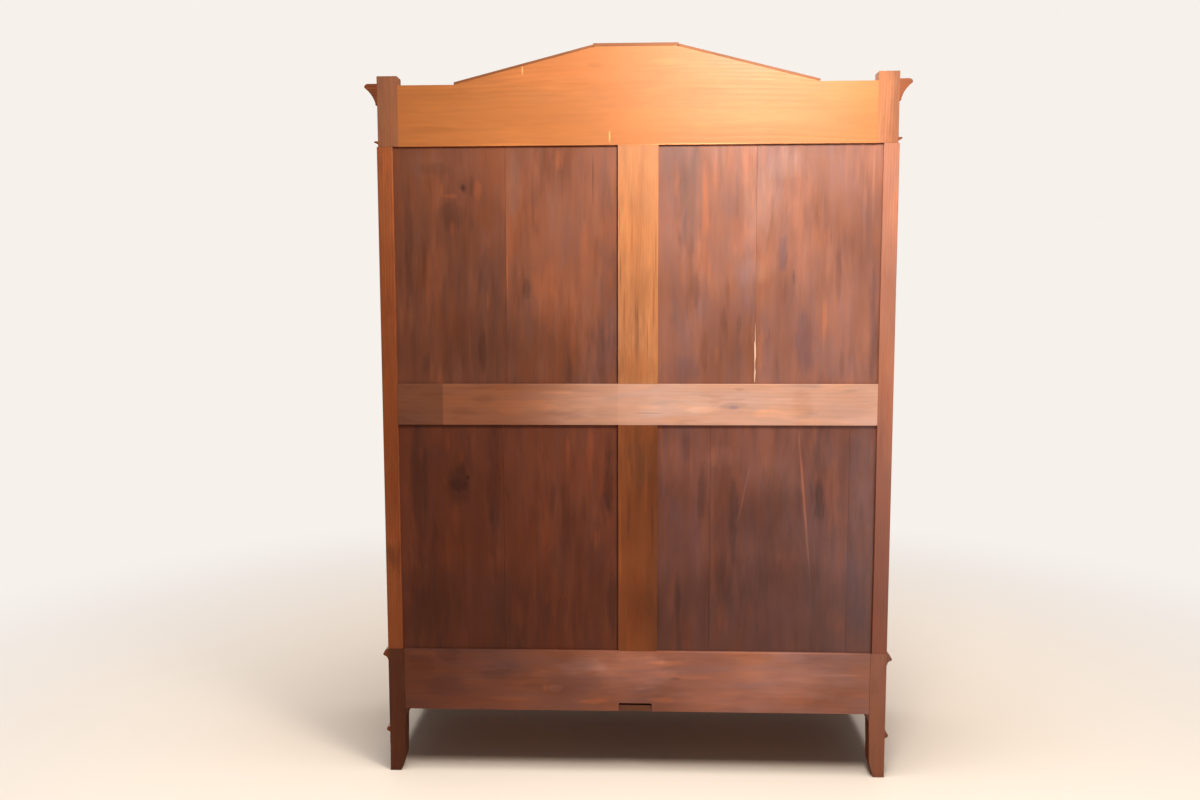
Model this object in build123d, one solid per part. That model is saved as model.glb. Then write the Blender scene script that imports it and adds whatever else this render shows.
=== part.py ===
from build123d import *
import math
import os

# A full-size two-door wardrobe with a pedimented crown, in three knock-down units.
#
# A base with four legs and two drawers carries a panelled carcass with two doors, and a crown
# with a flat-topped pediment sits on the carcass. Millimetres, +Z up. The doors face -Y, +X is to
# the right of someone facing them, and the origin is on the floor under the middle of the piece.

# ---- Driving dimensions -------------------------------------------------------------------
WIDTH = 1480            # across the outer faces of the posts
DEPTH = 540             # back of the rear posts to the faces of the front posts
BASE_TOP = 379          # seam between base and carcass
CROWN_BOTTOM = 1854     # seam between carcass and crown
CROWN_BOARD_TOP = 2025  # straight top edge of the crown boards
CROWN_POST_TOP = 2051   # the crown posts stand a little higher than the boards
PEDIMENT_TOP = 2126     # flat top of the pediment boards
PEDIMENT_FOOT_HALF = 515
PEDIMENT_FLAT_HALF = 114

POST_Y = 50                 # depth of every post and leg
LEG_X, POST_X, CROWN_POST_X = 48, 55, 58    # their widths: base, carcass, crown
RAIL_T = 24                 # thickness of rails, crown boards and doors
TENON = 25
SHOULDER = 10               # a tenon is this much lower than its rail at each edge
PANEL_T = 8                 # a side panel, and the groove and tenons in line with it
PANEL_IN = 8                # how far a panel stands in its groove
GROOVE_SLACK = 1

CORNICE_OUT, CORNICE_H = 36, 59
CORNICE_ABOVE = 5           # the cornice stands this much above the board edge behind it
CROWN_INSET = 4             # the crown is this much narrower than the carcass at each side

# ---- Planes that the driving dimensions give ----------------------------------------------
Y_BACK = (DEPTH + CORNICE_OUT) / 2
Y_FRONT = Y_BACK - DEPTH
X_OUT = WIDTH / 2
X_LEG = X_OUT - LEG_X               # inner faces of the legs
X_POST = X_OUT - POST_X             # inner faces of the carcass posts
X_SIDE = X_OUT - RAIL_T             # inner faces of the side rails
X_CROWN = X_OUT - CROWN_INSET
X_CROWN_POST = X_CROWN - CROWN_POST_X
Y_REAR_POST = Y_BACK - POST_Y       # front faces of the rear posts
Y_FRONT_POST = Y_FRONT + POST_Y     # rear faces of the front posts
BACK_X = (-X_POST, X_POST)
LEG_SPAN = (-X_LEG, X_LEG)
SIDE_Y = (Y_FRONT_POST, Y_REAR_POST)
REAR_BOARD_Y = (Y_BACK - RAIL_T, Y_BACK)
FRONT_BOARD_Y = (Y_FRONT, Y_FRONT + RAIL_T)
INNER_Y = (FRONT_BOARD_Y[1], REAR_BOARD_Y[0])

# Back of the carcass: a lapped frame of one rail and two muntins, with recessed panels.
BACK_T, BACK_PANEL_T = 20, 12
BACK_REBATE = 11            # the frame stands this far into each rear post
BACK_LAP = 10               # a panel laps this far behind a rail or muntin
BACK_RAIL_Z = (1055, 1175)
MUNTIN_HALF = 57.5
MUNTIN_X = -7               # the muntins stand a little to one side
BACK_EDGE = X_POST + BACK_REBATE
BACK_BOARD_GAP = 0.4        # open joint between two boards of a panel
BACK_SEAMS = {              # how far those joints are from the middle of the wardrobe
    ("upper", "left"): (344,), ("upper", "right"): (373,),
    ("lower", "left"): (218, 620), ("lower", "right"): (388,),
}

# Base
BASE_RAIL_BOTTOM = 194      # lower edge of the rear rail
SIDE_RAIL_BOTTOM = 122      # lower edge of the side and front rails
NOTCH_HALF, NOTCH_TOP = 49, 219
RUNNER_HALF, RUNNER_Z = 48.5, (194, 212)
DRAWER_Z = (212, 352)       # height of the drawer openings
DIVIDER_HALF = 30
FOOT_CHAMFER_IN, FOOT_CHAMFER_UP = 12, 46
FOOT_TAPER_IN, FOOT_TAPER_UP = 4, 160     # a leg narrows a little towards the floor

# Doors
DOOR_Z = (382, 1851)
DOOR_GAP = 2
DOOR_MEET = -20             # the right door's free edge, so that its cover strip is centred
STILE = 85
DOOR_RAILS_Z = ((382, 502), (940, 1040), (1761, 1851))
STRIP_HALF = 20
HINGE_R, HINGE_PIN_R, HINGE_HALF = 6, 3, 35
HINGE_Z = (520, 1115, 1710)
HINGE_X = X_POST - DOOR_GAP / 2
HINGE_Y = Y_FRONT - HINGE_R - 0.5
LOCK_X, LOCK_Z = 48, 1056   # axis of the key
BOLT_X, BOLT_R = -62, 4     # axis of the two bolts inside the left door


# ---- Helpers ------------------------------------------------------------------------------
def block(x, y, z):
    """A box from three (low, high) spans."""
    centre = [(a + b) / 2 for a, b in (x, y, z)]
    return Pos(*centre) * Box(x[1] - x[0], y[1] - y[0], z[1] - z[0])


def grown(span, by):
    return (span[0] - by, span[1] + by)


def middle(span, width):
    """The middle part of a span, of that width."""
    centre = (span[0] + span[1]) / 2
    return (centre - width / 2, centre + width / 2)


def mirrored(solid):
    """The same piece on the other side of the wardrobe."""
    return mirror(solid, about=Plane.YZ)


def pair(solid):
    return [solid, mirrored(solid)]


def prism_z(points, z):
    """A plan outline in X and Y, extruded between two heights."""
    return extrude(Pos(0, 0, z[0]) * make_face(Polyline(*points, close=True)), z[1] - z[0])


def prism_y(points, y):
    """A front outline in X and Z, extruded between two values of Y."""
    plane = Plane(origin=(0, y[1], 0), x_dir=(1, 0, 0), z_dir=(0, -1, 0))
    return extrude(plane * make_face(Polyline(*points, close=True)), y[1] - y[0])


def rod_y(radius, x, y, z):
    return Pos(x, (y[0] + y[1]) / 2, z) * Rot(90, 0, 0) * Cylinder(radius, y[1] - y[0])


def rod_x(radius, x, y, z):
    return Pos((x[0] + x[1]) / 2, y, z) * Rot(0, 90, 0) * Cylinder(radius, x[1] - x[0])


def rod_z(radius, x, y, z):
    return Pos(x, y, (z[0] + z[1]) / 2) * Cylinder(radius, z[1] - z[0])


def save(name, pieces):
    """Writes one node, which holds each piece as its own solid."""
    solids = [s for piece in pieces for s in piece.solids()]
    for solid in solids:
        assert solid.is_valid and solid.volume > 0, name
    export_step(Compound(children=solids, label=name), f"parts/{name}.step")


def rail_along_x(x, y, z):
    """A rail with a stub tenon at each end, and the mortises for them."""
    thin, low = middle(y, PANEL_T), grown(z, -SHOULDER)
    tenons = block(grown(x, TENON), thin, low)
    return block(x, y, z) + tenons, block(grown(x, TENON + GROOVE_SLACK), thin, low)


def rail_along_y(x, y, z):
    thin, low = middle(x, PANEL_T), grown(z, -SHOULDER)
    tenons = block(thin, grown(y, TENON), low)
    return block(x, y, z) + tenons, block(thin, grown(y, TENON + GROOVE_SLACK), low)


def moulding(profile, start, end, outward):
    """A profile drawn as (out, down), run from start to end. Down follows from the two directions."""
    direction = Vector(*end) - Vector(*start)
    plane = Plane(origin=start, x_dir=outward, z_dir=direction.normalized())
    return extrude(plane * profile, direction.length)


def three_sides(profile, top, out, half_width, mitre):
    """A moulding round the left, front and right of the wardrobe, mitred at the front corners."""
    x, far = half_width, half_width + mitre
    front_y = Y_FRONT - mitre
    z = (top - out[1] - 1, top + 1)
    right = moulding(profile, (x, front_y, top), (x, Y_BACK, top), (1, 0, 0))
    right &= prism_z([(x, Y_BACK), (far, Y_BACK), (far, front_y), (x, Y_FRONT)], z)
    front = moulding(profile, (-far, Y_FRONT, top), (far, Y_FRONT, top), (0, -1, 0))
    front &= prism_z([(-x, Y_FRONT), (-far, front_y), (far, front_y), (x, Y_FRONT)], z)
    return [*pair(right), front]


def boards(solid, count, gap=0.4):
    """Cuts a floor or ceiling into boards that run along X, with narrow open joints."""
    box = solid.bounding_box()
    step = (box.max.Y - box.min.Y) / count
    pieces = []
    for i in range(count):
        y = (box.min.Y + i * step + (gap / 2 if i else 0),
             box.min.Y + (i + 1) * step - (gap / 2 if i < count - 1 else 0))
        pieces.append(solid & block((box.min.X, box.max.X), y, (box.min.Z, box.max.Z)))
    return pieces


# ---- Moulding profiles, drawn as (out, down) ----------------------------------------------
def cornice_profile():
    nose = 10
    face = CORNICE_OUT
    line = Polyline((0, CORNICE_H), (0, 0), (face - nose, 0))
    line += RadiusArc((face - nose, 0), (face, nose), -nose)
    line += Polyline((face, nose), (face - 3, nose + 3))
    line += ThreePointArc((face - 3, nose + 3), (16, 31), (5, CORNICE_H - 5))
    line += Polyline((5, CORNICE_H - 5), (5, CORNICE_H), (0, CORNICE_H))
    return make_face(line)


def base_profile():
    out, height = 15, 34
    line = Polyline((0, height), (0, 0), (2, 0))
    line += ThreePointArc((2, 0), (8, 4), (out - 2, 13))
    line += Polyline((out - 2, 13), (out, 15), (out, 19), (out - 4, 22))
    line += ThreePointArc((out - 4, 22), (5, 25), (2, height))
    line += Line((2, height), (0, height))
    return make_face(line)


def half_round_profile(out, height):
    return make_face(Line((0, height), (0, 0)) + ThreePointArc((0, 0), (out, height / 2), (0, height)))


def thin_bead_profile(out, height):
    return make_face(Polyline((0, 0), (out - 2, 0), (out, 2), (out, 4), (out / 2, 7), (0, height),
                              close=True))


# ---- Base ---------------------------------------------------------------------------------
def base_unit():
    rear_rail, rear_mortises = rail_along_x(LEG_SPAN, REAR_BOARD_Y, (BASE_RAIL_BOTTOM, BASE_TOP))
    notch = block((-NOTCH_HALF, NOTCH_HALF), REAR_BOARD_Y, (BASE_RAIL_BOTTOM, NOTCH_TOP))
    side_rail, side_mortises = rail_along_y((X_SIDE, X_OUT), SIDE_Y, (SIDE_RAIL_BOTTOM, BASE_TOP))
    low_rail, low_mortises = rail_along_x(LEG_SPAN, FRONT_BOARD_Y, (SIDE_RAIL_BOTTOM, DRAWER_Z[0]))
    top_rail, top_mortises = rail_along_x(LEG_SPAN, FRONT_BOARD_Y, (DRAWER_Z[1], BASE_TOP))
    divider = block((-DIVIDER_HALF, DIVIDER_HALF), FRONT_BOARD_Y, DRAWER_Z)
    save("base_rear_rail", [rear_rail - notch])
    save("base_side_rails", pair(side_rail))
    save("base_front_frame", [low_rail, top_rail, divider])

    def leg(y, inner_y):
        """A right-hand leg, chamfered at the foot on its two inner faces."""
        whole = block((X_LEG, X_OUT), y, (0, BASE_TOP))
        taper = FOOT_TAPER_IN * (1 - FOOT_CHAMFER_UP / FOOT_TAPER_UP)
        into_x = [(X_LEG, 0), (X_LEG + FOOT_TAPER_IN + FOOT_CHAMFER_IN, 0),
                  (X_LEG + taper, FOOT_CHAMFER_UP), (X_LEG, FOOT_TAPER_UP)]
        whole -= prism_y(into_x, y)
        reach = FOOT_CHAMFER_IN if inner_y == y[0] else -FOOT_CHAMFER_IN
        side = Plane(origin=(X_LEG, 0, 0), x_dir=(0, 1, 0), z_dir=(1, 0, 0))
        into_y = [(inner_y, 0), (inner_y + reach, 0), (inner_y, FOOT_CHAMFER_UP)]
        return whole - extrude(side * make_face(Polyline(*into_y, close=True)), LEG_X)

    rear_leg = leg((Y_REAR_POST, Y_BACK), Y_REAR_POST) - rear_mortises - side_mortises
    front_leg = leg((Y_FRONT, Y_FRONT_POST), Y_FRONT_POST) - low_mortises - top_mortises
    front_leg -= side_mortises
    save("base_legs", pair(rear_leg) + pair(front_leg))

    moulding_top, bead_top = BASE_TOP, 138
    save("base_moulding", three_sides(base_profile(), moulding_top, (15, 34), X_OUT, 15))
    save("base_bead", three_sides(half_round_profile(9, 16), bead_top, (9, 16), X_OUT, 9))

    # Triangular glue blocks in the corners under the rear rail.
    low, reach = BASE_RAIL_BOTTOM, 28
    corner = [(X_LEG, low), (X_LEG, low - reach), (X_LEG - 12, low)]
    save("leg_corner_blocks", pair(prism_y(corner, REAR_BOARD_Y)))

    # One floor slab, cut round the legs and then into boards.
    floor_z = (BASE_TOP - 20, BASE_TOP)
    slab = block((1 - X_SIDE, X_SIDE - 1), INNER_Y, floor_z)
    for y in ((Y_REAR_POST, Y_BACK), (Y_FRONT, Y_FRONT_POST)):
        for solid in pair(block((X_LEG, X_OUT), y, floor_z)):
            slab -= solid
    save("floor_boards", boards(slab, 5))

    runner_y = (FRONT_BOARD_Y[1], Y_BACK - 3)
    runner = block((-RUNNER_HALF, RUNNER_HALF), runner_y, RUNNER_Z)
    guide_z = (RUNNER_Z[1], RUNNER_Z[1] + 6)
    guide = block((1 - DIVIDER_HALF, DIVIDER_HALF - 1), (INNER_Y[0], Y_REAR_POST), guide_z)
    save("drawer_centre_runner", [runner, guide])

    # At each side: a runner under the drawer, a guide beside it, and a cleat under the floor.
    runner = block((X_LEG - 25, X_SIDE), SIDE_Y, RUNNER_Z)
    guide = block((X_LEG, X_SIDE), SIDE_Y, (RUNNER_Z[1], RUNNER_Z[1] + 20))
    cleat = block((X_SIDE - 18, X_SIDE), SIDE_Y, (floor_z[0] - 20, floor_z[0]))
    save("base_side_bearers", pair(runner) + pair(guide) + pair(cleat))


# ---- Carcass ------------------------------------------------------------------------------
def side_frames():
    """The posts, side rails and side panels. The rear posts are rebated for the back."""
    x = (X_SIDE, X_OUT)
    heights = ((BASE_TOP, BASE_TOP + 110), BACK_RAIL_Z, (CROWN_BOTTOM - 100, CROWN_BOTTOM))
    rails, cuts = zip(*[rail_along_y(x, SIDE_Y, z) for z in heights])
    panels, grooves = [], []
    for below, above in zip(heights, heights[1:]):
        z = (below[1], above[0])
        panels.append(block(middle(x, PANEL_T), grown(SIDE_Y, PANEL_IN), grown(z, PANEL_IN)))
        deep = PANEL_IN + GROOVE_SLACK
        grooves.append(block(middle(x, PANEL_T), grown(SIDE_Y, deep), grown(z, deep)))
    rails = [rail - grooves[0] - grooves[1] for rail in rails]
    save("side_rails", [piece for rail in rails for piece in pair(rail)])
    save("side_panels", [piece for panel in panels for piece in pair(panel)])

    top_z = (CROWN_BOTTOM - 58, CROWN_BOTTOM)
    top_y = (Y_BACK - BACK_T - RAIL_T, Y_BACK - BACK_T)
    top_rail, top_mortises = rail_along_x(BACK_X, top_y, top_z)
    save("back_top_rail", [top_rail])

    z = (BASE_TOP, CROWN_BOTTOM)
    rebate = block((X_POST, BACK_EDGE), (Y_BACK - BACK_T, Y_BACK), z)
    rear = block((X_POST, X_OUT), (Y_REAR_POST, Y_BACK), z) - rebate - top_mortises
    front = block((X_POST, X_OUT), (Y_FRONT, Y_FRONT_POST), z)
    for cut in (*cuts, *grooves):
        rear -= cut
        front -= cut
    save("rear_post_left", [mirrored(rear)])
    save("rear_post_right", [rear])
    save("front_posts", pair(front))


def back_frame():
    """One rail and two muntins whose rear faces lap over the panels between them."""
    face_y = (Y_BACK - BACK_T + BACK_PANEL_T, Y_BACK)
    core_y = (Y_BACK - BACK_T, face_y[0])
    edge = (-BACK_EDGE, BACK_EDGE)
    rail = block(edge, face_y, BACK_RAIL_Z) + block(edge, core_y, grown(BACK_RAIL_Z, -BACK_LAP))
    save("back_mid_rail", [rail])

    face_x = grown((MUNTIN_X, MUNTIN_X), MUNTIN_HALF)
    core_x = grown(face_x, -BACK_LAP)
    upper_z, lower_z = (BACK_RAIL_Z[1], CROWN_BOTTOM), (BASE_TOP, BACK_RAIL_Z[0])
    upper_core = (upper_z[0] - BACK_LAP, upper_z[1])
    lower_core = (lower_z[0], lower_z[1] + BACK_LAP)
    save("back_muntin_upper", [block(face_x, face_y, upper_z) + block(core_x, core_y, upper_core)])
    save("back_muntin_lower", [block(face_x, face_y, lower_z) + block(core_x, core_y, lower_core)])

    for (level, side), seams in BACK_SEAMS.items():
        z = upper_core if level == "upper" else lower_core
        inner_edge = -core_x[0] if side == "left" else core_x[1]
        panel = block((inner_edge, BACK_EDGE), core_y, z)
        for seam in seams:
            panel -= block(middle((seam, seam), BACK_BOARD_GAP), grown(core_y, 1), grown(z, 1))
        save(f"back_panel_{level}_{side}", [mirrored(panel) if side == "left" else panel])


def fittings_inside():
    """The door stops, the hat shelf on its cleats, and the clothes rail in its brackets."""
    stop_y = (FRONT_BOARD_Y[1] + 1, FRONT_BOARD_Y[1] + 22)
    top_stop = block(BACK_X, stop_y, (CROWN_BOTTOM - 26, CROWN_BOTTOM))
    low_stop = block(BACK_X, stop_y, (BASE_TOP, BASE_TOP + 16))
    bolt_y = FRONT_BOARD_Y[1] + 8
    top_stop -= rod_z(BOLT_R + 0.5, BOLT_X, bolt_y, (CROWN_BOTTOM - 27, CROWN_BOTTOM - 6))
    low_stop -= rod_z(BOLT_R + 0.5, BOLT_X, bolt_y, (BASE_TOP + 3, BASE_TOP + 17))
    save("door_stops", [top_stop, low_stop])

    shelf_z, cleat_x = (1560, 1580), (X_POST - 18, X_POST)
    shelf_y = (Y_FRONT_POST + 12, Y_BACK - BACK_T - 2)
    save("hat_shelf", [block(grown(BACK_X, -1), shelf_y, shelf_z)])
    cleat_y = (shelf_y[0], Y_BACK - BACK_T)
    save("shelf_cleats", pair(block(cleat_x, cleat_y, (shelf_z[0] - 25, shelf_z[0]))))

    rod_r, rod_height, bracket_half = 14, 1495, 32
    rod_mid_y = (Y_BACK - BACK_T + FRONT_BOARD_Y[1]) / 2
    rod_span = (6 - X_POST, X_POST - 6)
    save("clothes_rail", [rod_x(rod_r, rod_span, rod_mid_y, rod_height)])
    y = grown((rod_mid_y, rod_mid_y), bracket_half)
    bracket = block(cleat_x, y, (rod_height - 30, shelf_z[0] - 25))
    socket = rod_x(rod_r + 0.3, (cleat_x[0], X_POST - 5), rod_mid_y, rod_height)
    save("clothes_rail_brackets", pair(bracket - socket))


# ---- Crown --------------------------------------------------------------------------------
PEDIMENT = [(-PEDIMENT_FOOT_HALF, CROWN_BOARD_TOP), (PEDIMENT_FOOT_HALF, CROWN_BOARD_TOP),
            (PEDIMENT_FLAT_HALF, PEDIMENT_TOP), (-PEDIMENT_FLAT_HALF, PEDIMENT_TOP)]


def crown_unit():
    z = (CROWN_BOTTOM, CROWN_BOARD_TOP)
    x = (-X_CROWN_POST, X_CROWN_POST)
    rear_rail, rear_mortises = rail_along_x(x, REAR_BOARD_Y, z)
    front_rail, front_mortises = rail_along_x(x, FRONT_BOARD_Y, z)
    side_x = (X_CROWN - RAIL_T, X_CROWN)
    side_rail, side_mortises = rail_along_y(side_x, SIDE_Y, z)
    save("crown_rear_rail", [rear_rail])
    save("crown_rear_pediment", [prism_y(PEDIMENT, REAR_BOARD_Y)])
    save("crown_front_boards", [front_rail, prism_y(PEDIMENT, FRONT_BOARD_Y)])
    save("crown_side_rails", pair(side_rail))

    post_z = (CROWN_BOTTOM, CROWN_POST_TOP)
    rear = block((X_CROWN_POST, X_CROWN), (Y_REAR_POST, Y_BACK), post_z)
    front = block((X_CROWN_POST, X_CROWN), (Y_FRONT, Y_FRONT_POST), post_z)
    rear -= [rear_mortises, side_mortises]
    front -= [front_mortises, side_mortises]
    save("crown_posts", pair(rear) + pair(front))

    ceiling = block((1 - side_x[0], side_x[0] - 1), INNER_Y, (CROWN_BOTTOM, CROWN_BOTTOM + 14))
    for y in ((Y_REAR_POST, Y_BACK), (Y_FRONT, Y_FRONT_POST)):
        for solid in pair(block((X_CROWN_POST, X_CROWN), y, (CROWN_BOTTOM, CROWN_BOTTOM + 14))):
            ceiling -= solid
    save("crown_ceiling_boards", boards(ceiling, 5))
    save("crown_roof_boards", roof_boards(side_x[0]))
    bead = thin_bead_profile(11, 10)
    bead_top = CROWN_BOTTOM + 16
    save("crown_bead", three_sides(bead, bead_top, (11, 10), X_CROWN, 11))
    save("crown_cornice", cornice())


def roof_boards(side):
    """Thin boards over the pediment, from the front board to the back, and one at each flat end."""
    thick, flat_thick, flat_half = 7, 9, PEDIMENT_FLAT_HALF + 6
    run = PEDIMENT_FOOT_HALF - PEDIMENT_FLAT_HALF
    rise = PEDIMENT_TOP - CROWN_BOARD_TOP
    length = math.hypot(run, rise)
    up = (thick * rise / length, thick * run / length)
    foot = (PEDIMENT_FOOT_HALF, CROWN_BOARD_TOP)
    drop = rise / run * (flat_half - PEDIMENT_FLAT_HALF)
    below_flat = (flat_half, PEDIMENT_TOP - drop)
    above_flat = (flat_half, below_flat[1] + thick * length / run)
    slope = [foot, (foot[0] + up[0], foot[1] + up[1]), above_flat, below_flat]
    span = (Y_FRONT, Y_BACK)
    slopes = [cut for piece in pair(prism_y(slope, span)) for cut in boards(piece, 3)]
    flat = block((-flat_half, flat_half), span, (PEDIMENT_TOP, PEDIMENT_TOP + flat_thick))
    end = block((PEDIMENT_FOOT_HALF - 8, side - 1), INNER_Y, (CROWN_BOARD_TOP - thick, CROWN_BOARD_TOP))
    for y in ((Y_REAR_POST, Y_BACK), (Y_FRONT, Y_FRONT_POST)):
        end -= block((X_CROWN_POST, X_CROWN), y, (CROWN_BOTTOM, CROWN_POST_TOP))
    ends = pair(end)
    return [*slopes, *boards(flat, 3), *ends]


def cornice():
    """The side cornices, and the front one, which climbs over the pediment in five mitred pieces."""
    profile = cornice_profile()
    top = CROWN_BOARD_TOP + CORNICE_ABOVE
    x, far, front_y = X_CROWN, X_CROWN + CORNICE_OUT, Y_FRONT - CORNICE_OUT
    z = (CROWN_BOTTOM, PEDIMENT_TOP + CORNICE_H)
    side = moulding(profile, (x, front_y, top), (x, Y_BACK, top), (1, 0, 0))
    side &= prism_z([(x, Y_BACK), (far, Y_BACK), (far, front_y), (x, Y_FRONT)], z)

    # The top line of the front cornice, and the same line one moulding height lower, mitred.
    slope = math.atan2(PEDIMENT_TOP - CROWN_BOARD_TOP, PEDIMENT_FOOT_HALF - PEDIMENT_FLAT_HALF)
    shift = CORNICE_H * math.tan(slope / 2)
    high = PEDIMENT_TOP + CORNICE_ABOVE
    above = [(far, top), (PEDIMENT_FOOT_HALF, top), (PEDIMENT_FLAT_HALF, high), (0, high)]
    below = [(far, top - CORNICE_H), (PEDIMENT_FOOT_HALF - shift, top - CORNICE_H),
             (PEDIMENT_FLAT_HALF - shift, high - CORNICE_H), (0, high - CORNICE_H)]
    pieces = []
    corner = [(x, Y_FRONT), (far, front_y), (0, front_y), (0, Y_FRONT)]
    for i in range(3):
        (x0, z0), (x1, z1) = above[i + 1], above[i]
        unit = Vector(x1 - x0, 0, z1 - z0).normalized()
        start, end = Vector(x0, Y_FRONT, z0) - unit * 40, Vector(x1, Y_FRONT, z1) + unit * 40
        piece = moulding(profile, tuple(start), tuple(end), (0, -1, 0))
        piece &= prism_y([above[i], above[i + 1], below[i + 1], below[i]], (front_y, Y_FRONT))
        pieces.append(piece & prism_z(corner, z) if i == 0 else piece)
    flat = pieces.pop()
    return [*pair(side), *pair(pieces[0]), *pair(pieces[1]), flat + mirrored(flat)]


# ---- Doors --------------------------------------------------------------------------------
def panel_mould_profile():
    """Drawn as (out from the panel, in from the frame)."""
    line = Polyline((0, 14), (0, 0), (9, 0), (11, 2))
    line += ThreePointArc((11, 2), (9, 7), (4, 9))
    line += Polyline((4, 9), (4, 12), (2, 14), (0, 14))
    return make_face(line)


def panel_mouldings(x, z, y):
    """Four mitred lengths inside one opening of a door frame, standing on the panel at y."""
    profile, wide = panel_mould_profile(), 14
    (x0, x1), (z0, z1) = x, z
    corners = [(x0, z0), (x1, z0), (x1, z1), (x0, z1)]
    inner = [(x0 + wide, z0 + wide), (x1 - wide, z0 + wide), (x1 - wide, z1 - wide),
             (x0 + wide, z1 - wide)]
    pieces = []
    for i in range(4):
        j = (i + 1) % 4
        # Run backwards round the opening, so that the profile's second axis points inwards.
        (xa, za), (xb, zb) = corners[j], corners[i]
        piece = moulding(profile, (xa, y, za), (xb, y, zb), (0, -1, 0))
        piece &= prism_y([corners[i], corners[j], inner[j], inner[i]], (y - 20, y))
        pieces.append(piece)
    return pieces


def raised_panel(x, z):
    """A panel with a flat tongue all round and a fielded face towards the front."""
    y = middle(FRONT_BOARD_Y, PANEL_T)
    tongue = block(grown(x, PANEL_IN), y, grown(z, PANEL_IN))
    plane = Plane(origin=((x[0] + x[1]) / 2, y[0], (z[0] + z[1]) / 2), x_dir=(1, 0, 0),
                  z_dir=(0, -1, 0))
    wide, high = x[1] - x[0], z[1] - z[0]
    foot = plane * Rectangle(wide - 56, high - 56)
    field = plane.offset(6) * Rectangle(wide - 110, high - 110)
    return tongue + loft([foot, field])


def door(side, x, stiles):
    """A door of two stiles, three rails, two raised panels and their mouldings."""
    outer, inner = stiles
    (x0, x1), y = x, FRONT_BOARD_Y
    opening = (x0 + outer, x1 - inner)
    rails, cuts = zip(*[rail_along_x(opening, y, z) for z in DOOR_RAILS_Z])
    solids = [block((x0, opening[0]), y, DOOR_Z), block((opening[1], x1), y, DOOR_Z)]
    solids = [solids[0] - list(cuts), solids[1] - list(cuts), *rails]
    panels, mouldings = [], []
    for below, above in zip(DOOR_RAILS_Z, DOOR_RAILS_Z[1:]):
        z = (below[1], above[0])
        deep = PANEL_IN + GROOVE_SLACK
        groove = block(grown(opening, deep), middle(y, PANEL_T), grown(z, deep))
        solids = [solid - groove for solid in solids]
        panels.append(raised_panel(opening, z))
        mouldings += panel_mouldings(opening, z, middle(y, PANEL_T)[0])
    save(f"door_{side}_panels", panels)
    save(f"door_{side}_mouldings", mouldings)
    return solids


def hinge_half(z, upper):
    """Half of one right-hand hinge: a knuckle with its finial, and a leaf in the gap."""
    knuckle = (z, z + HINGE_HALF) if upper else (z - HINGE_HALF, z - 0.5)
    tip = knuckle[1] if upper else knuckle[0]
    solid = rod_z(HINGE_R, HINGE_X, HINGE_Y, knuckle)
    solid += Pos(HINGE_X, HINGE_Y, tip) * Sphere(HINGE_R * 0.8)
    leaf_x = (HINGE_X - 1, HINGE_X - 0.2) if upper else (HINGE_X + 0.2, HINGE_X + 1)
    solid += block(leaf_x, (Y_FRONT + 2, Y_FRONT + 20), (z - HINGE_HALF, z + HINGE_HALF))
    solid += block(leaf_x, (HINGE_Y, Y_FRONT + 2), grown(knuckle, -1))
    pin = (z - 0.5, z + HINGE_HALF - 8)
    if upper:
        return solid - rod_z(HINGE_PIN_R + 0.06, HINGE_X, HINGE_Y, grown(pin, 1))
    return solid + rod_z(HINGE_PIN_R, HINGE_X, HINGE_Y, pin)


def doors():
    left_x = (DOOR_GAP - X_POST, DOOR_MEET - DOOR_GAP)
    right_x = (DOOR_MEET, X_POST - DOOR_GAP)
    wide_stile = STILE + 2 * STRIP_HALF
    left = door("left", left_x, (STILE, STILE))
    right = door("right", right_x, (wide_stile, STILE))
    save("hinge_pins", [half for z in HINGE_Z for half in pair(hinge_half(z, upper=False))])
    uppers = [hinge_half(z, upper=True) for z in HINGE_Z]
    save("door_left_hinges", [mirrored(half) for half in uppers])
    save("door_right_hinges", uppers)

    keyhole = rod_y(4.5, LOCK_X, FRONT_BOARD_Y, LOCK_Z)
    keyhole += block((LOCK_X - 2, LOCK_X + 2), FRONT_BOARD_Y, (LOCK_Z - 10, LOCK_Z))
    save("door_left_frame", left)
    save("door_right_frame", [right[0] - keyhole, *right[1:]])

    strip = [(-STRIP_HALF, Y_FRONT), (STRIP_HALF, Y_FRONT), (STRIP_HALF, Y_FRONT - 4),
             (STRIP_HALF - 4, Y_FRONT - 4), (STRIP_HALF - 8, Y_FRONT - 9), (6, Y_FRONT - 11),
             (-6, Y_FRONT - 11), (8 - STRIP_HALF, Y_FRONT - 9), (4 - STRIP_HALF, Y_FRONT - 4),
             (-STRIP_HALF, Y_FRONT - 4)]
    save("door_cover_strip", [prism_z(strip, DOOR_Z)])


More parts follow.
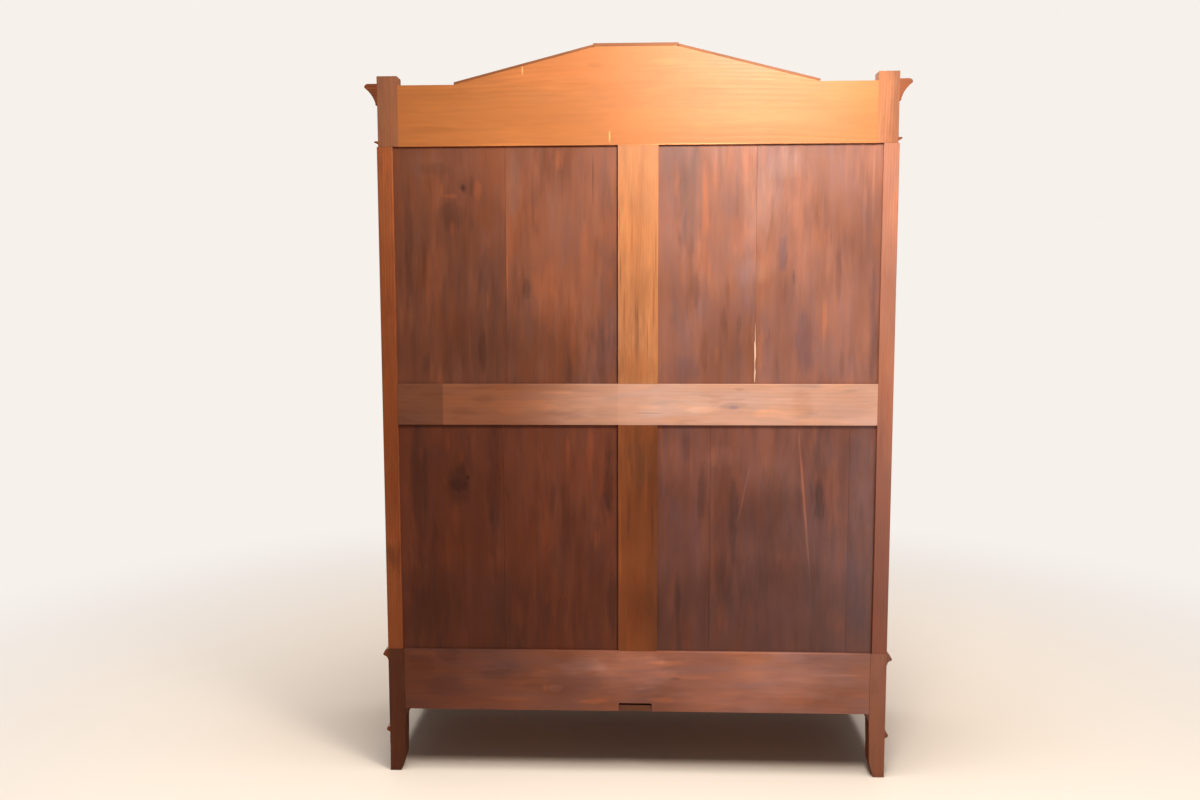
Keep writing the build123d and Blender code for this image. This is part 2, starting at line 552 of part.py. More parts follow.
def lock():
    """A box lock inside the right door, its key, and the staple on the left door."""
    back = FRONT_BOARD_Y[1]
    x, y, z = (DOOR_MEET + 2, LOCK_X + 24), (back, back + 15), (LOCK_Z - 42, LOCK_Z + 42)
    hollow_y = (back + 2, back + 13)
    case = block(x, y, z) - block((x[0] + 2, x[1] - 2), hollow_y, grown(z, -2))
    bolt_z, bolt_y = (LOCK_Z + 13, LOCK_Z + 27), (back + 4, back + 11)
    case -= block((x[0] - 1, x[0] + 3), grown(bolt_y, 0.3), grown(bolt_z, 0.3))
    case -= rod_y(4.5, LOCK_X, (back - 1, back + 3), LOCK_Z)
    case -= block((LOCK_X - 2, LOCK_X + 2), (back - 1, back + 3), (LOCK_Z - 10, LOCK_Z))
    plate_y = (Y_FRONT - 1.5, Y_FRONT)
    plate = Pos(LOCK_X, Y_FRONT - 0.75, LOCK_Z) * Rot(90, 0, 0) * extrude(Ellipse(15, 24), 0.75, both=True)
    plate -= rod_y(4.5, LOCK_X, grown(plate_y, 1), LOCK_Z)
    plate -= block((LOCK_X - 2, LOCK_X + 2), grown(plate_y, 1), (LOCK_Z - 10, LOCK_Z))
    save("lock_case", [case])
    save("key_escutcheon", [plate])
    save("lock_bolt", [block((x[0] + 1, x[1] - 18), bolt_y, bolt_z)])

    bow_y = Y_FRONT - 23
    shaft = rod_y(3, LOCK_X, (Y_FRONT - 14, back + 11), LOCK_Z)
    bit = block((LOCK_X - 1.2, LOCK_X + 1.2), (back + 4, back + 10), (LOCK_Z - 11, LOCK_Z))
    bow = Pos(LOCK_X, bow_y, LOCK_Z) * Rot(0, 90, 0) * Torus(10, 2.4)
    collar = rod_y(4.2, LOCK_X, (Y_FRONT - 8, Y_FRONT - 4), LOCK_Z)
    save("key", [shaft + bit + bow + collar])

    edge = DOOR_MEET - DOOR_GAP
    staple = block((edge - 22, edge - 1), (back, back + 14), (bolt_z[0] - 5, bolt_z[1] + 5))
    staple -= block((edge - 20, edge), grown(bolt_y, 1), grown(bolt_z, 1))
    guides, rods = [], []
    rod_y_mid = back + 8
    spans = {"top": (1680, 1812), "bottom": (409, 541)}
    for name, z in spans.items():
        rod = rod_z(BOLT_R, BOLT_X, rod_y_mid, z)
        knob_z = z[0] + 6 if name == "top" else z[1] - 6
        rod += rod_y(3, BOLT_X, (rod_y_mid, back + 20), knob_z)
        rod += Pos(BOLT_X, back + 22, knob_z) * Sphere(5)
        rods.append((name, rod))
        plate_z = (z[0] + 34, z[1] - 8) if name == "top" else (z[0] + 8, z[1] - 34)
        guide = block(grown((BOLT_X, BOLT_X), 13), (back, back + 2), plate_z)
        for loop_z in (plate_z[0] + 8, plate_z[1] - 8):
            loop = block(grown((BOLT_X, BOLT_X), 8), (back + 2, back + 14), grown((loop_z, loop_z), 5))
            guide += loop - rod_z(BOLT_R + 0.3, BOLT_X, rod_y_mid, grown((loop_z, loop_z), 6))
        guides.append(guide)
    save("door_left_fittings", [staple, *guides])
    for name, rod in rods:
        save(f"bolt_{name}", [rod])


# ---- Drawers ------------------------------------------------------------------------------
def drawers():
    """The right-hand drawer, and the left-hand one as its mirror."""
    play, front_t, side_t, back_y = 1.5, 20, 11, Y_REAR_POST + 4
    x = (DIVIDER_HALF + play, X_LEG - play)
    z = (DRAWER_Z[0] + 1, DRAWER_Z[1] - play)
    front_y = (Y_FRONT + 2, Y_FRONT + 2 + front_t)
    side_z, bottom_z = (z[0], z[1] - 22), (z[0] + 9, z[0] + 15)
    front = block(x, front_y, z)
    sides = [block((x[0], x[0] + side_t), (front_y[1], back_y), side_z),
             block((x[1] - side_t, x[1]), (front_y[1], back_y), side_z)]
    inside = (x[0] + side_t, x[1] - side_t)
    groove = block(grown(inside, 5), (front_y[1] - 6, back_y + 1), bottom_z)
    back = block(inside, (back_y - side_t, back_y), (bottom_z[1], side_z[1]))
    bottom = block(grown(inside, 5), (front_y[1] - 6, back_y), bottom_z)

    # A turned knob, drawn as (radius, out from the drawer front), with a spigot into the front.
    spigot_r, spigot_length = 6, 9
    outline = Polyline((0, -spigot_length), (spigot_r, -spigot_length), (spigot_r, 0), (8, 0), (8, 2))
    outline += ThreePointArc((8, 2), (7.5, 9), (11, 13))
    outline += ThreePointArc((11, 13), (17, 19), (14, 25)) + ThreePointArc((14, 25), (9, 28), (4, 29))
    outline += Polyline((4, 29), (0, 29), (0, -spigot_length))
    knob = revolve(make_face(outline), Axis.Y)
    middle_x, middle_z = (x[0] + x[1]) / 2, (z[0] + z[1]) / 2
    hole_y = (front_y[0] - 1, front_y[0] + spigot_length + 0.2)
    knobs, holes = [], []
    for offset in (-165, 165):
        place = Pos(middle_x + offset, front_y[0], middle_z)
        knobs.append(place * Rot(180, 0, 0) * knob)
        holes.append(rod_y(spigot_r + 0.1, middle_x + offset, hole_y, middle_z))
    front -= [groove, *holes]
    box = [*[side - groove for side in sides], back, bottom]
    for side, turn in (("right", lambda s: s), ("left", mirrored)):
        save(f"drawer_{side}_front", [turn(front)])
        save(f"drawer_{side}_box", [turn(piece) for piece in box])
        save(f"drawer_{side}_knobs", [turn(piece) for piece in knobs])


os.makedirs("parts", exist_ok=True)
base_unit()
side_frames()
back_frame()
fittings_inside()
crown_unit()
doors()
lock()
drawers()
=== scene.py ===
import math
import bmesh
import bpy
from mathutils import Matrix, Vector


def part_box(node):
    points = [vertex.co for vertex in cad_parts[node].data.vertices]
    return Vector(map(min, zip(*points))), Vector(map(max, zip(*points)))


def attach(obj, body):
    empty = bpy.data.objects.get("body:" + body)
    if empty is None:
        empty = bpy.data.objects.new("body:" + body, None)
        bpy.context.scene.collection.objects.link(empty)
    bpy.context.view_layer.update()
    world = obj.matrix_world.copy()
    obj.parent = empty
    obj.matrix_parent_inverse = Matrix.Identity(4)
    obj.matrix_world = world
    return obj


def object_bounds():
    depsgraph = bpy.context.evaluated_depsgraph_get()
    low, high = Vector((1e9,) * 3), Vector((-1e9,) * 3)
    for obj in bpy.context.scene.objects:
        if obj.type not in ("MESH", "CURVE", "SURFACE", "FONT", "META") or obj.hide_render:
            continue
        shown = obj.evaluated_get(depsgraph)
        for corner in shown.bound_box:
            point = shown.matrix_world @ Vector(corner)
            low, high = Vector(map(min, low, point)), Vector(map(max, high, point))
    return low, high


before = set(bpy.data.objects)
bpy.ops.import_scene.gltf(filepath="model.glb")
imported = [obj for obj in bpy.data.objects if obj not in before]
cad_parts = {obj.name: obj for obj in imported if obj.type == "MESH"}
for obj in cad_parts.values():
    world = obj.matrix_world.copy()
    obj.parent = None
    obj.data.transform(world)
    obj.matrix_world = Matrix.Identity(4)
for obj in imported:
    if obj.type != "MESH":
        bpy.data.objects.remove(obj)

# Looks of a two-door knock-down wardrobe, seen from behind. Metres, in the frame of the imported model:
# the panelled back faces +Y, the doors face -Y, Z is up and +X is to the right of someone at the doors.

CAD_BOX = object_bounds()
MM = 0.001
BOARD = "board"                                 # attribute that holds a number for each separate board
BACK_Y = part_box("crown_rear_rail")[1].y         # plane of the rear faces

# What a tint does to the colour under it, channel by channel.
TINTS = {
    "amber": (1.44, 1.28, 1.02), "dark": (0.50, 0.50, 0.55), "haze": (1.08, 1.28, 1.48),
    "violet": (0.74, 0.82, 1.10), "pale": (1.60, 1.68, 1.70), "bare": (2.4, 3.2, 4.2),
    "brown": (0.72, 0.56, 0.40), "rust": (0.60, 0.41, 0.27), "umber": (0.50, 0.33, 0.22),
    # The tint (1.72, 2.60, 3.90) paints sheen.
    "painted_sheen": (1.72, 2.60, 3.90), "warm": (1.10, 1.00, 0.82), "cool": (0.90, 1.00, 1.20),
    # The tint (0.22, 0.17, 0.15) paints shade into the corners of wood.
    "knot": (0.30, 0.26, 0.28), "worn": (1.6, 1.65, 1.65), "painted_shade": (0.22, 0.17, 0.15),
    "tarnished": (0.20, 0.16, 0.12),
}


# ---- Node graphs --------------------------------------------------------------------------
# Cosine between a face's normal and one rounded over its corners: away from a corner, and on it.
FLAT, CORNER = 0.985, 0.80
COAT_ROUGHNESS = 0.22


def linear(colour):
    """An sRGB colour of 0 to 255 as linear RGBA."""
    values = [c / 255 for c in colour]
    return [v / 12.92 if v <= 0.04045 else ((v + 0.055) / 1.055) ** 2.4 for v in values] + [1.0]


def scaled(colour, factors):
    """A linear colour multiplied channel by channel."""
    return [c * f for c, f in zip(colour, factors)] + [1.0]


class Graph:
    """Builds the nodes of one material. Its methods return output sockets, and take sockets or values."""

    def __init__(self, name):
        self.material = bpy.data.materials.new(name)
        self.material.use_nodes = True
        self.tree = self.material.node_tree
        self.tree.nodes.clear()
        self.shader = self.tree.nodes.new("ShaderNodeBsdfPrincipled")
        self.output = self.tree.nodes.new("ShaderNodeOutputMaterial")
        self.tree.links.new(self.shader.outputs["BSDF"], self.output.inputs["Surface"])

    def put(self, socket, value):
        """Links a socket to an input, or sets the input to a value."""
        if isinstance(value, bpy.types.NodeSocket):
            self.tree.links.new(value, socket)
        else:
            socket.default_value = value

    def node(self, kind, output=0, settings=None, **inputs):
        """Adds a node, with its inputs by name and _ for a space, and returns that output of it."""
        made = self.tree.nodes.new("ShaderNode" + kind)
        for key, value in (settings or {}).items():
            setattr(made, key, value)
        for key, value in inputs.items():
            self.put(made.inputs[key.replace("_", " ")], value)
        return made.outputs[output]

    def math(self, operation, a, b=0.0):
        made = self.tree.nodes.new("ShaderNodeMath")
        made.operation = operation
        self.put(made.inputs[0], a)
        self.put(made.inputs[1], b)
        return made.outputs[0]

    def add(self, total, *terms):
        for term in terms:
            total = self.math("ADD", total, term)
        return total

    def minus(self, a, b):
        return self.math("SUBTRACT", a, b)

    def times(self, product, *factors):
        for factor in factors:
            product = self.math("MULTIPLY", product, factor)
        return product

    def length(self, a, b):
        return self.math("SQRT", self.add(self.times(a, a), self.times(b, b)))

    def centred(self, value, amount):
        """A 0 to 1 value as -amount / 2 to amount / 2."""
        return self.times(self.minus(value, 0.5), amount)

    def steps(self, value, low, high):
        """Runs smoothly from 0 at low to 1 at high."""
        made = self.tree.nodes.new("ShaderNodeMapRange")
        made.interpolation_type = "SMOOTHSTEP"
        self.put(made.inputs["Value"], value)
        self.put(made.inputs["From Min"], low)
        self.put(made.inputs["From Max"], high)
        return made.outputs[0]

    def vector(self, operation, a, b=(0, 0, 0), output="Vector"):
        made = self.tree.nodes.new("ShaderNodeVectorMath")
        made.operation = operation
        self.put(made.inputs[0], a)
        self.put(made.inputs[1], b)
        return made.outputs[output]

    def noise(self, place, waves, detail=2.0, roughness=0.5):
        """Soft noise from 0 to 1, with that many waves per metre along each axis of the place."""
        stretched = self.vector("MULTIPLY", place, waves)
        return self.node("TexNoise", "Fac", Vector=stretched, Scale=1.0, Detail=detail,
                         Roughness=roughness)

    def mix(self, factor, a, b, blend="MIX"):
        made = self.tree.nodes.new("ShaderNodeMix")
        made.data_type = "RGBA"
        made.blend_type = blend
        self.put(made.inputs[0], factor)
        self.put(made.inputs[6], a)
        self.put(made.inputs[7], b)
        return made.outputs[2]

    def tint(self, mask, shade, name):
        """Gives the shade that tint where the mask is 1."""
        return self.mix(mask, shade, (*TINTS[name], 1.0), "MULTIPLY")

    def ramp(self, factor, stops):
        """The colour at that factor between the stops (place, colour)."""
        made = self.tree.nodes.new("ShaderNodeValToRGB")
        elements = made.color_ramp.elements
        while len(elements) < len(stops):
            elements.new(0.5)
        for element, (place, colour) in zip(elements, stops):
            element.position = place
            element.color = colour
        self.put(made.inputs[0], factor)
        return made.outputs[0]

    def edge(self, radius):
        """1 on outer and inner corners, 0 on flat faces."""
        rounded = self.node("Bevel", settings={"samples": 6}, Radius=radius)
        true = self.node("NewGeometry", "Normal")
        return self.steps(self.vector("DOT_PRODUCT", rounded, true, "Value"), FLAT, CORNER)

    def corner_tarnish_and_shade(self, reach):
        """1 deep in a corner, 0 on open faces: where metal tarnishes in its hollows, and where wood gets
        painted shade.
        """
        return self.minus(1.0, self.node("AmbientOcclusion", "AO", {"samples": 8}, Distance=reach))

    def finish(self, colour, roughness, height, relief, metallic=0.0, specular=0.5, coat=0.0):
        """Gives the shader its inputs. The relief is the depth of the bumps at a height of 1."""
        self.put(self.shader.inputs["Base Color"], colour)
        self.put(self.shader.inputs["Roughness"], roughness)
        self.shader.inputs["Metallic"].default_value = metallic
        self.shader.inputs["Specular IOR Level"].default_value = specular
        self.shader.inputs["Coat Weight"].default_value = coat
        self.shader.inputs["Coat Roughness"].default_value = COAT_ROUGHNESS
        self.put(self.shader.inputs["Normal"], self.node("Bump", Height=height, Distance=relief))
        return self.material


# ---- Wood ---------------------------------------------------------------------------------
# For each grain direction, the axes across the face, into the board and along the grain.
AXES = {"X": "ZYX", "X_flat": "YZX", "Y": "ZXY", "Z": "XYZ", "Z_side": "YXZ"}

# The noises in the wood, in waves per metre across the face, into the board and along the grain.
WAVES = {
    "slow bend": (2.5, 2.5, 1.0), "quick bend": (9, 9, 4.0), "knot rim": (90, 90, 60),
    "ring wander": (1.5, 3.0, 1.3), "ring raggedness": (60, 60, 9), "ring fading": (5, 5, 1.5),
    "combing": (7, 7, 3.5), "bands": (26, 26, 1.5), "streaks": (80, 80, 5.0), "flecks": (95, 95, 15),
    "fibres": (300, 300, 12), "hairs": (1100, 1100, 26), "clouds": (5.5, 5.5, 3.2),
    "temper drift": (8, 8, 3.5), "temper grain": (45, 45, 7), "resin": (48, 48, 5.0),
    "dark resin": (38, 38, 6.0), "mark grain": (75, 75, 11), "mark edge": (30, 30, 16),
    "mark drift": (24, 24, 10), "chips": (70, 70, 26), "plane marks": (13, 13, 2.5),
}
BOARD_SHIFT = (3.1, 1.7, 7.3)       # how far the pattern of a board numbered 1 lies from that of one at 0
KNOT_REACH = 2.4                    # how far a knot bends the grain, in its radii
KNOT_PULL = 0.85                    # how strongly it bends it, up to 1
KNOT_LENGTH = 0.42                  # what a metre along the grain counts for near a knot
SHARP = 0.3 * MM                    # half the width of the edge of a joint between boards
CHIPPED = 2.0 * MM                  # how far from a corner wood is chipped
# how far from a corner the painted shade in wood reaches
CORNER_SHADE_REACH = 22 * MM
RELIEF = 0.5 * MM


def coarser(waves, width, length=1.0):
    """Fewer waves: those of a pattern that much wider and longer."""
    return (waves[0] / width, waves[1] / width, waves[2] / length)


class Wood(Graph):
    """The nodes of a wood, with what they share: the point's place in its board, before and after the
    grain is bent, the board's number, and a mask of the knots."""

    def __init__(self, name, grain, warp, knots):
        super().__init__(name)
        split = self.tree.nodes.new("ShaderNodeSeparateXYZ")
        self.put(split.inputs[0], self.node("TexCoord", "Object"))
        self.across, self.depth, self.along = [split.outputs["XYZ".index(axis)] for axis in AXES[grain]]
        self.board = self.node("Attribute", "Fac", {"attribute_name": BOARD})
        x, y, z = [self.times(self.board, shift) for shift in BOARD_SHIFT]
        self.shift = self.node("CombineXYZ", X=x, Y=y, Z=z)
        self.place = self.placed(self.across)
        self.bent, self.cores = self.bend(warp, knots)
        self.flow = self.placed(self.bent)

    def placed(self, across):
        """The point that the noises read, in a pattern that differs from board to board."""
        point = self.node("CombineXYZ", X=across, Y=self.depth, Z=self.along)
        return self.vector("ADD", point, self.shift)

    def still(self, name, detail=2.0, roughness=0.5):
        """A noise that ignores the bends of the grain."""
        return self.noise(self.place, WAVES[name], detail, roughness)

    def flowing(self, name, detail=2.0, roughness=0.5):
        """A noise that follows the bends of the grain."""
        return self.noise(self.flow, WAVES[name], detail, roughness)

    def bend(self, warp, knots):
        """The place across with the grain bent everywhere, and round each knot (across, along,
        radius), and a mask of the knots."""
        bent = self.add(self.across, self.centred(self.still("slow bend", 1.0), warp),
                        self.centred(self.still("quick bend", 1.0), warp * 0.16))
        cores = 0.0
        for knot_across, knot_along, radius in knots:
            aside = self.minus(self.across, knot_across)
            onward = self.times(self.minus(self.along, knot_along), KNOT_LENGTH)
            reach = (radius * KNOT_REACH) ** 2
            away = self.add(self.times(aside, aside), self.times(onward, onward))
            pull = self.math("DIVIDE", reach, self.add(away, reach))
            bent = self.minus(bent, self.times(aside, pull, KNOT_PULL))
            ragged = self.centred(self.still("knot rim"), radius * 0.7)
            core = self.add(self.length(aside, self.times(onward, 1.9)), ragged)
            cores = self.add(cores, self.steps(core, radius * 1.1, radius * 0.2))
        return bent, cores

    def growth_rings(self, pith, rise, warp, spacing):
        """1 in the dark late wood of each growth ring, fading out here and there."""
        offset = self.add(self.bent, self.centred(self.board, 0.2), -pith[0])
        behind = self.add(self.times(self.minus(self.along, self.centred(self.board, 0.6)), rise),
                          self.centred(self.still("ring wander", 1.0), warp * 1.6), pith[1])
        ragged = self.centred(self.flowing("ring raggedness"), 2.5 * MM)
        distance = self.add(self.length(offset, behind), ragged)
        # Each ring darkens slowly and ends in a sharp edge.
        phase = self.math("FRACT", self.math("DIVIDE", distance, spacing * MM))
        late = self.times(self.steps(phase, 0.25, 0.86), self.steps(phase, 1.0, 0.90))
        return self.times(late, self.steps(self.still("ring fading", 1.0), 0.36, 0.66))

    def stain_unevenly(self, shade, combed, hue, amber, broad):
        """Warmer and cooler drifts, resinous streaks and dark ones."""
        temper = self.add(self.times(self.still("temper drift"), 0.55),
                          self.times(self.flowing("temper grain"), 0.45))
        shade = self.tint(self.times(self.steps(temper, 0.50, 0.64), hue), shade, "warm")
        shade = self.tint(self.times(self.steps(temper, 0.50, 0.36), hue), shade, "cool")
        resin = self.noise(self.flow, coarser(WAVES["resin"], broad))
        shade = self.tint(self.times(self.steps(resin, 0.56, 0.72), combed, amber), shade, "amber")
        dark = self.steps(self.flowing("dark resin"), 0.57, 0.74)
        return self.tint(self.times(dark, amber * 1.1), shade, "dark")

    def tint_beyond(self, shade, seams, butts):
        """Tints all that lies beyond each joint (place, tint, strength, half the width of its edge)."""
        for value, joints in ((self.across, seams), (self.along, butts)):
            for joint, tint, strength, *soft in joints:
                half = soft[0] if soft else SHARP
                beyond = self.times(self.steps(value, joint - half, joint + half), strength)
                shade = self.tint(beyond, shade, tint)
        return shade

    def lay_marks(self, shade, marks):
        """Tints patches of the surface. Their edges break up along the grain, less so where they are
        small, or so wide that ragged edges would look like blots."""
        broken = self.add(self.centred(self.flowing("mark grain"), 3.4),
                          self.centred(self.still("mark edge"), 2.4))
        drift = self.centred(self.still("mark drift"), 0.9)
        masks = {}
        for tint, strength, mark_across, mark_along, half_width, half_length, *lean in marks:
            loose = min(1.0, half_width * 70, half_length * 70, 0.03 / half_width)
            onward = self.add(self.along, -mark_along)
            aside = self.add(self.across, -mark_across)
            if lean:
                aside = self.add(aside, self.times(onward, -lean[0]))
            u = self.add(self.times(aside, 1 / half_width), self.times(drift, loose))
            v = self.times(onward, 1 / half_length)
            far = self.add(self.times(u, u), self.times(v, v), self.times(broken, loose))
            mask = self.times(self.steps(far, 1.6, 0.0), strength)
            masks[tint] = self.add(masks[tint], mask) if tint in masks else mask
        for tint, mask in masks.items():
            shade = self.tint(mask, shade, tint)
        return shade


def wood(name, grain, colour, spread=0.35, streak=0.5, fleck=0.25, patch=0.4, rings=0.15, spacing=8,
         pith=(0.0, 0.09), rise=0.0, warp=0.04, fibre=0.14, amber=0.2, hue=0.5, knots=(), seams=(),
         butts=(), marks=(), front=None, broad=1.0, rough=0.46, coat=0.0, wear=0.5, corner_shade=0.45):
    """Sawn, stained and worn wood of that middle colour, with painted shade in its corners.

    Spread is how far its deepest and palest tones differ from it. Streak, fleck, patch, rings and
    fibre say how much each of them shows in the tone, amber how much resin shows, and hue how far
    the stain drifts to warm and cool. Broad is how much coarser than usual the streaks are.

    Lengths are metres, except spacing, the width of a growth ring in millimetres. The pith is
    (across, behind the face), and rise is how fast it leaves the face along the grain, which
    makes arched figure. Warp is how far the grain wanders. A seam is (across, tint, strength, and
    half the width of its edge if that isn't sharp) and tints all that lies beyond it. A butt does
    the same along the grain. A mark is (tint, strength, across, along, half width, half length, and
    how far across it leans in a metre along if it isn't straight). Front is a (tint, strength) for
    what lies in the front half.
    """
    w = Wood(name, grain, warp, knots)
    late = w.growth_rings(pith, rise, warp, spacing)
    # Streaks and flecks show in some patches and hardly in others.
    combed = w.add(0.25, w.steps(w.still("combing"), 0.42, 0.66))
    streaks = w.noise(w.flow, coarser(WAVES["streaks"], broad))
    flecks = w.noise(w.flow, coarser(WAVES["flecks"], broad, broad))
    fibres, hairs, clouds = w.flowing("fibres"), w.flowing("hairs", 2.0, 0.6), w.still("clouds", 3.0)

    # The tone runs from 0.1, deep, to 0.9, pale.
    combing = w.times(w.add(w.centred(streaks, streak * 0.8), w.centred(flecks, fleck * 1.2)), combed)
    tone = w.add(0.5 + rings * 0.25, w.centred(w.flowing("bands"), streak * 0.9), combing,
                 w.centred(fibres, fibre * 1.2), w.centred(hairs, fibre), w.centred(clouds, patch),
                 w.times(late, -rings), w.centred(w.board, 0.12))
    middle = linear(colour)[:3]
    deep = scaled(middle, (1 - spread, 1 - 1.10 * spread, 1 - 1.15 * spread))
    pale = scaled(middle, (1 + 1.2 * spread, 1 + 1.30 * spread, 1 + 1.3 * spread))
    shade = w.ramp(tone, [(0.1, deep), (0.5, middle + [1.0]), (0.9, pale)])
    shade = w.stain_unevenly(shade, combed, hue, amber, broad)
    shade = w.tint_beyond(shade, seams, butts)
    if front:
        tint, strength = front
        shade = w.tint(w.times(w.steps(w.depth, 10 * MM, -10 * MM), strength), shade, tint)
    shade = w.lay_marks(shade, marks)
    if knots:
        shade = w.tint(w.times(w.cores, 0.8), shade, "knot")
    if wear:
        chips = w.steps(w.still("chips", 3.0, 0.65), 0.64 - wear * 0.25, 0.74)
        shade = w.tint(w.times(w.edge(CHIPPED), chips, 0.7), shade, "worn")
    # Painted shade: darker in corners and recesses, where shadow falls on the wood.
    shade = w.tint(w.times(w.corner_tarnish_and_shade(CORNER_SHADE_REACH), corner_shade), shade, "painted_shade")

    gloss = w.add(rough, w.centred(fibres, 0.10), w.centred(clouds, 0.14), w.times(late, 0.05))
    height = w.add(w.times(hairs, 0.22), w.times(fibres, 0.25), w.times(late, -0.10),
                   w.times(w.still("plane marks", 1.0), 1.4), w.times(streaks, 0.25))
    return w.finish(shade, gloss, height, RELIEF, coat=coat)


def metal(name, ground, patina, rough):
    """Old metal: worn bright ground under a cloudy patina, with fine scratches."""
    g = Graph(name)
    place = g.node("TexCoord", "Object")
    clouds = g.noise(place, (140, 140, 140), 4.0, 0.6)
    scratches = g.noise(place, (2600, 2600, 260))
    pits = g.steps(g.noise(place, (900, 900, 900)), 0.62, 0.75)
    bright = [min(255, c * 1.3) for c in ground]
    shade = g.mix(g.steps(clouds, 0.36, 0.66), linear(ground), linear(patina))
    shade = g.mix(g.times(g.edge(0.8 * MM), 0.6), shade, linear(bright))
    shade = g.tint(g.times(g.corner_tarnish_and_shade(4 * MM), 0.6), shade, "tarnished")
    gloss = g.add(rough, g.centred(clouds, 0.25), g.centred(scratches, 0.12), g.times(pits, 0.1))
    height = g.add(g.times(clouds, 0.6), g.times(scratches, 0.4), g.times(pits, -0.5))
    return g.finish(shade, gloss, height, 0.10 * MM, metallic=1.0)


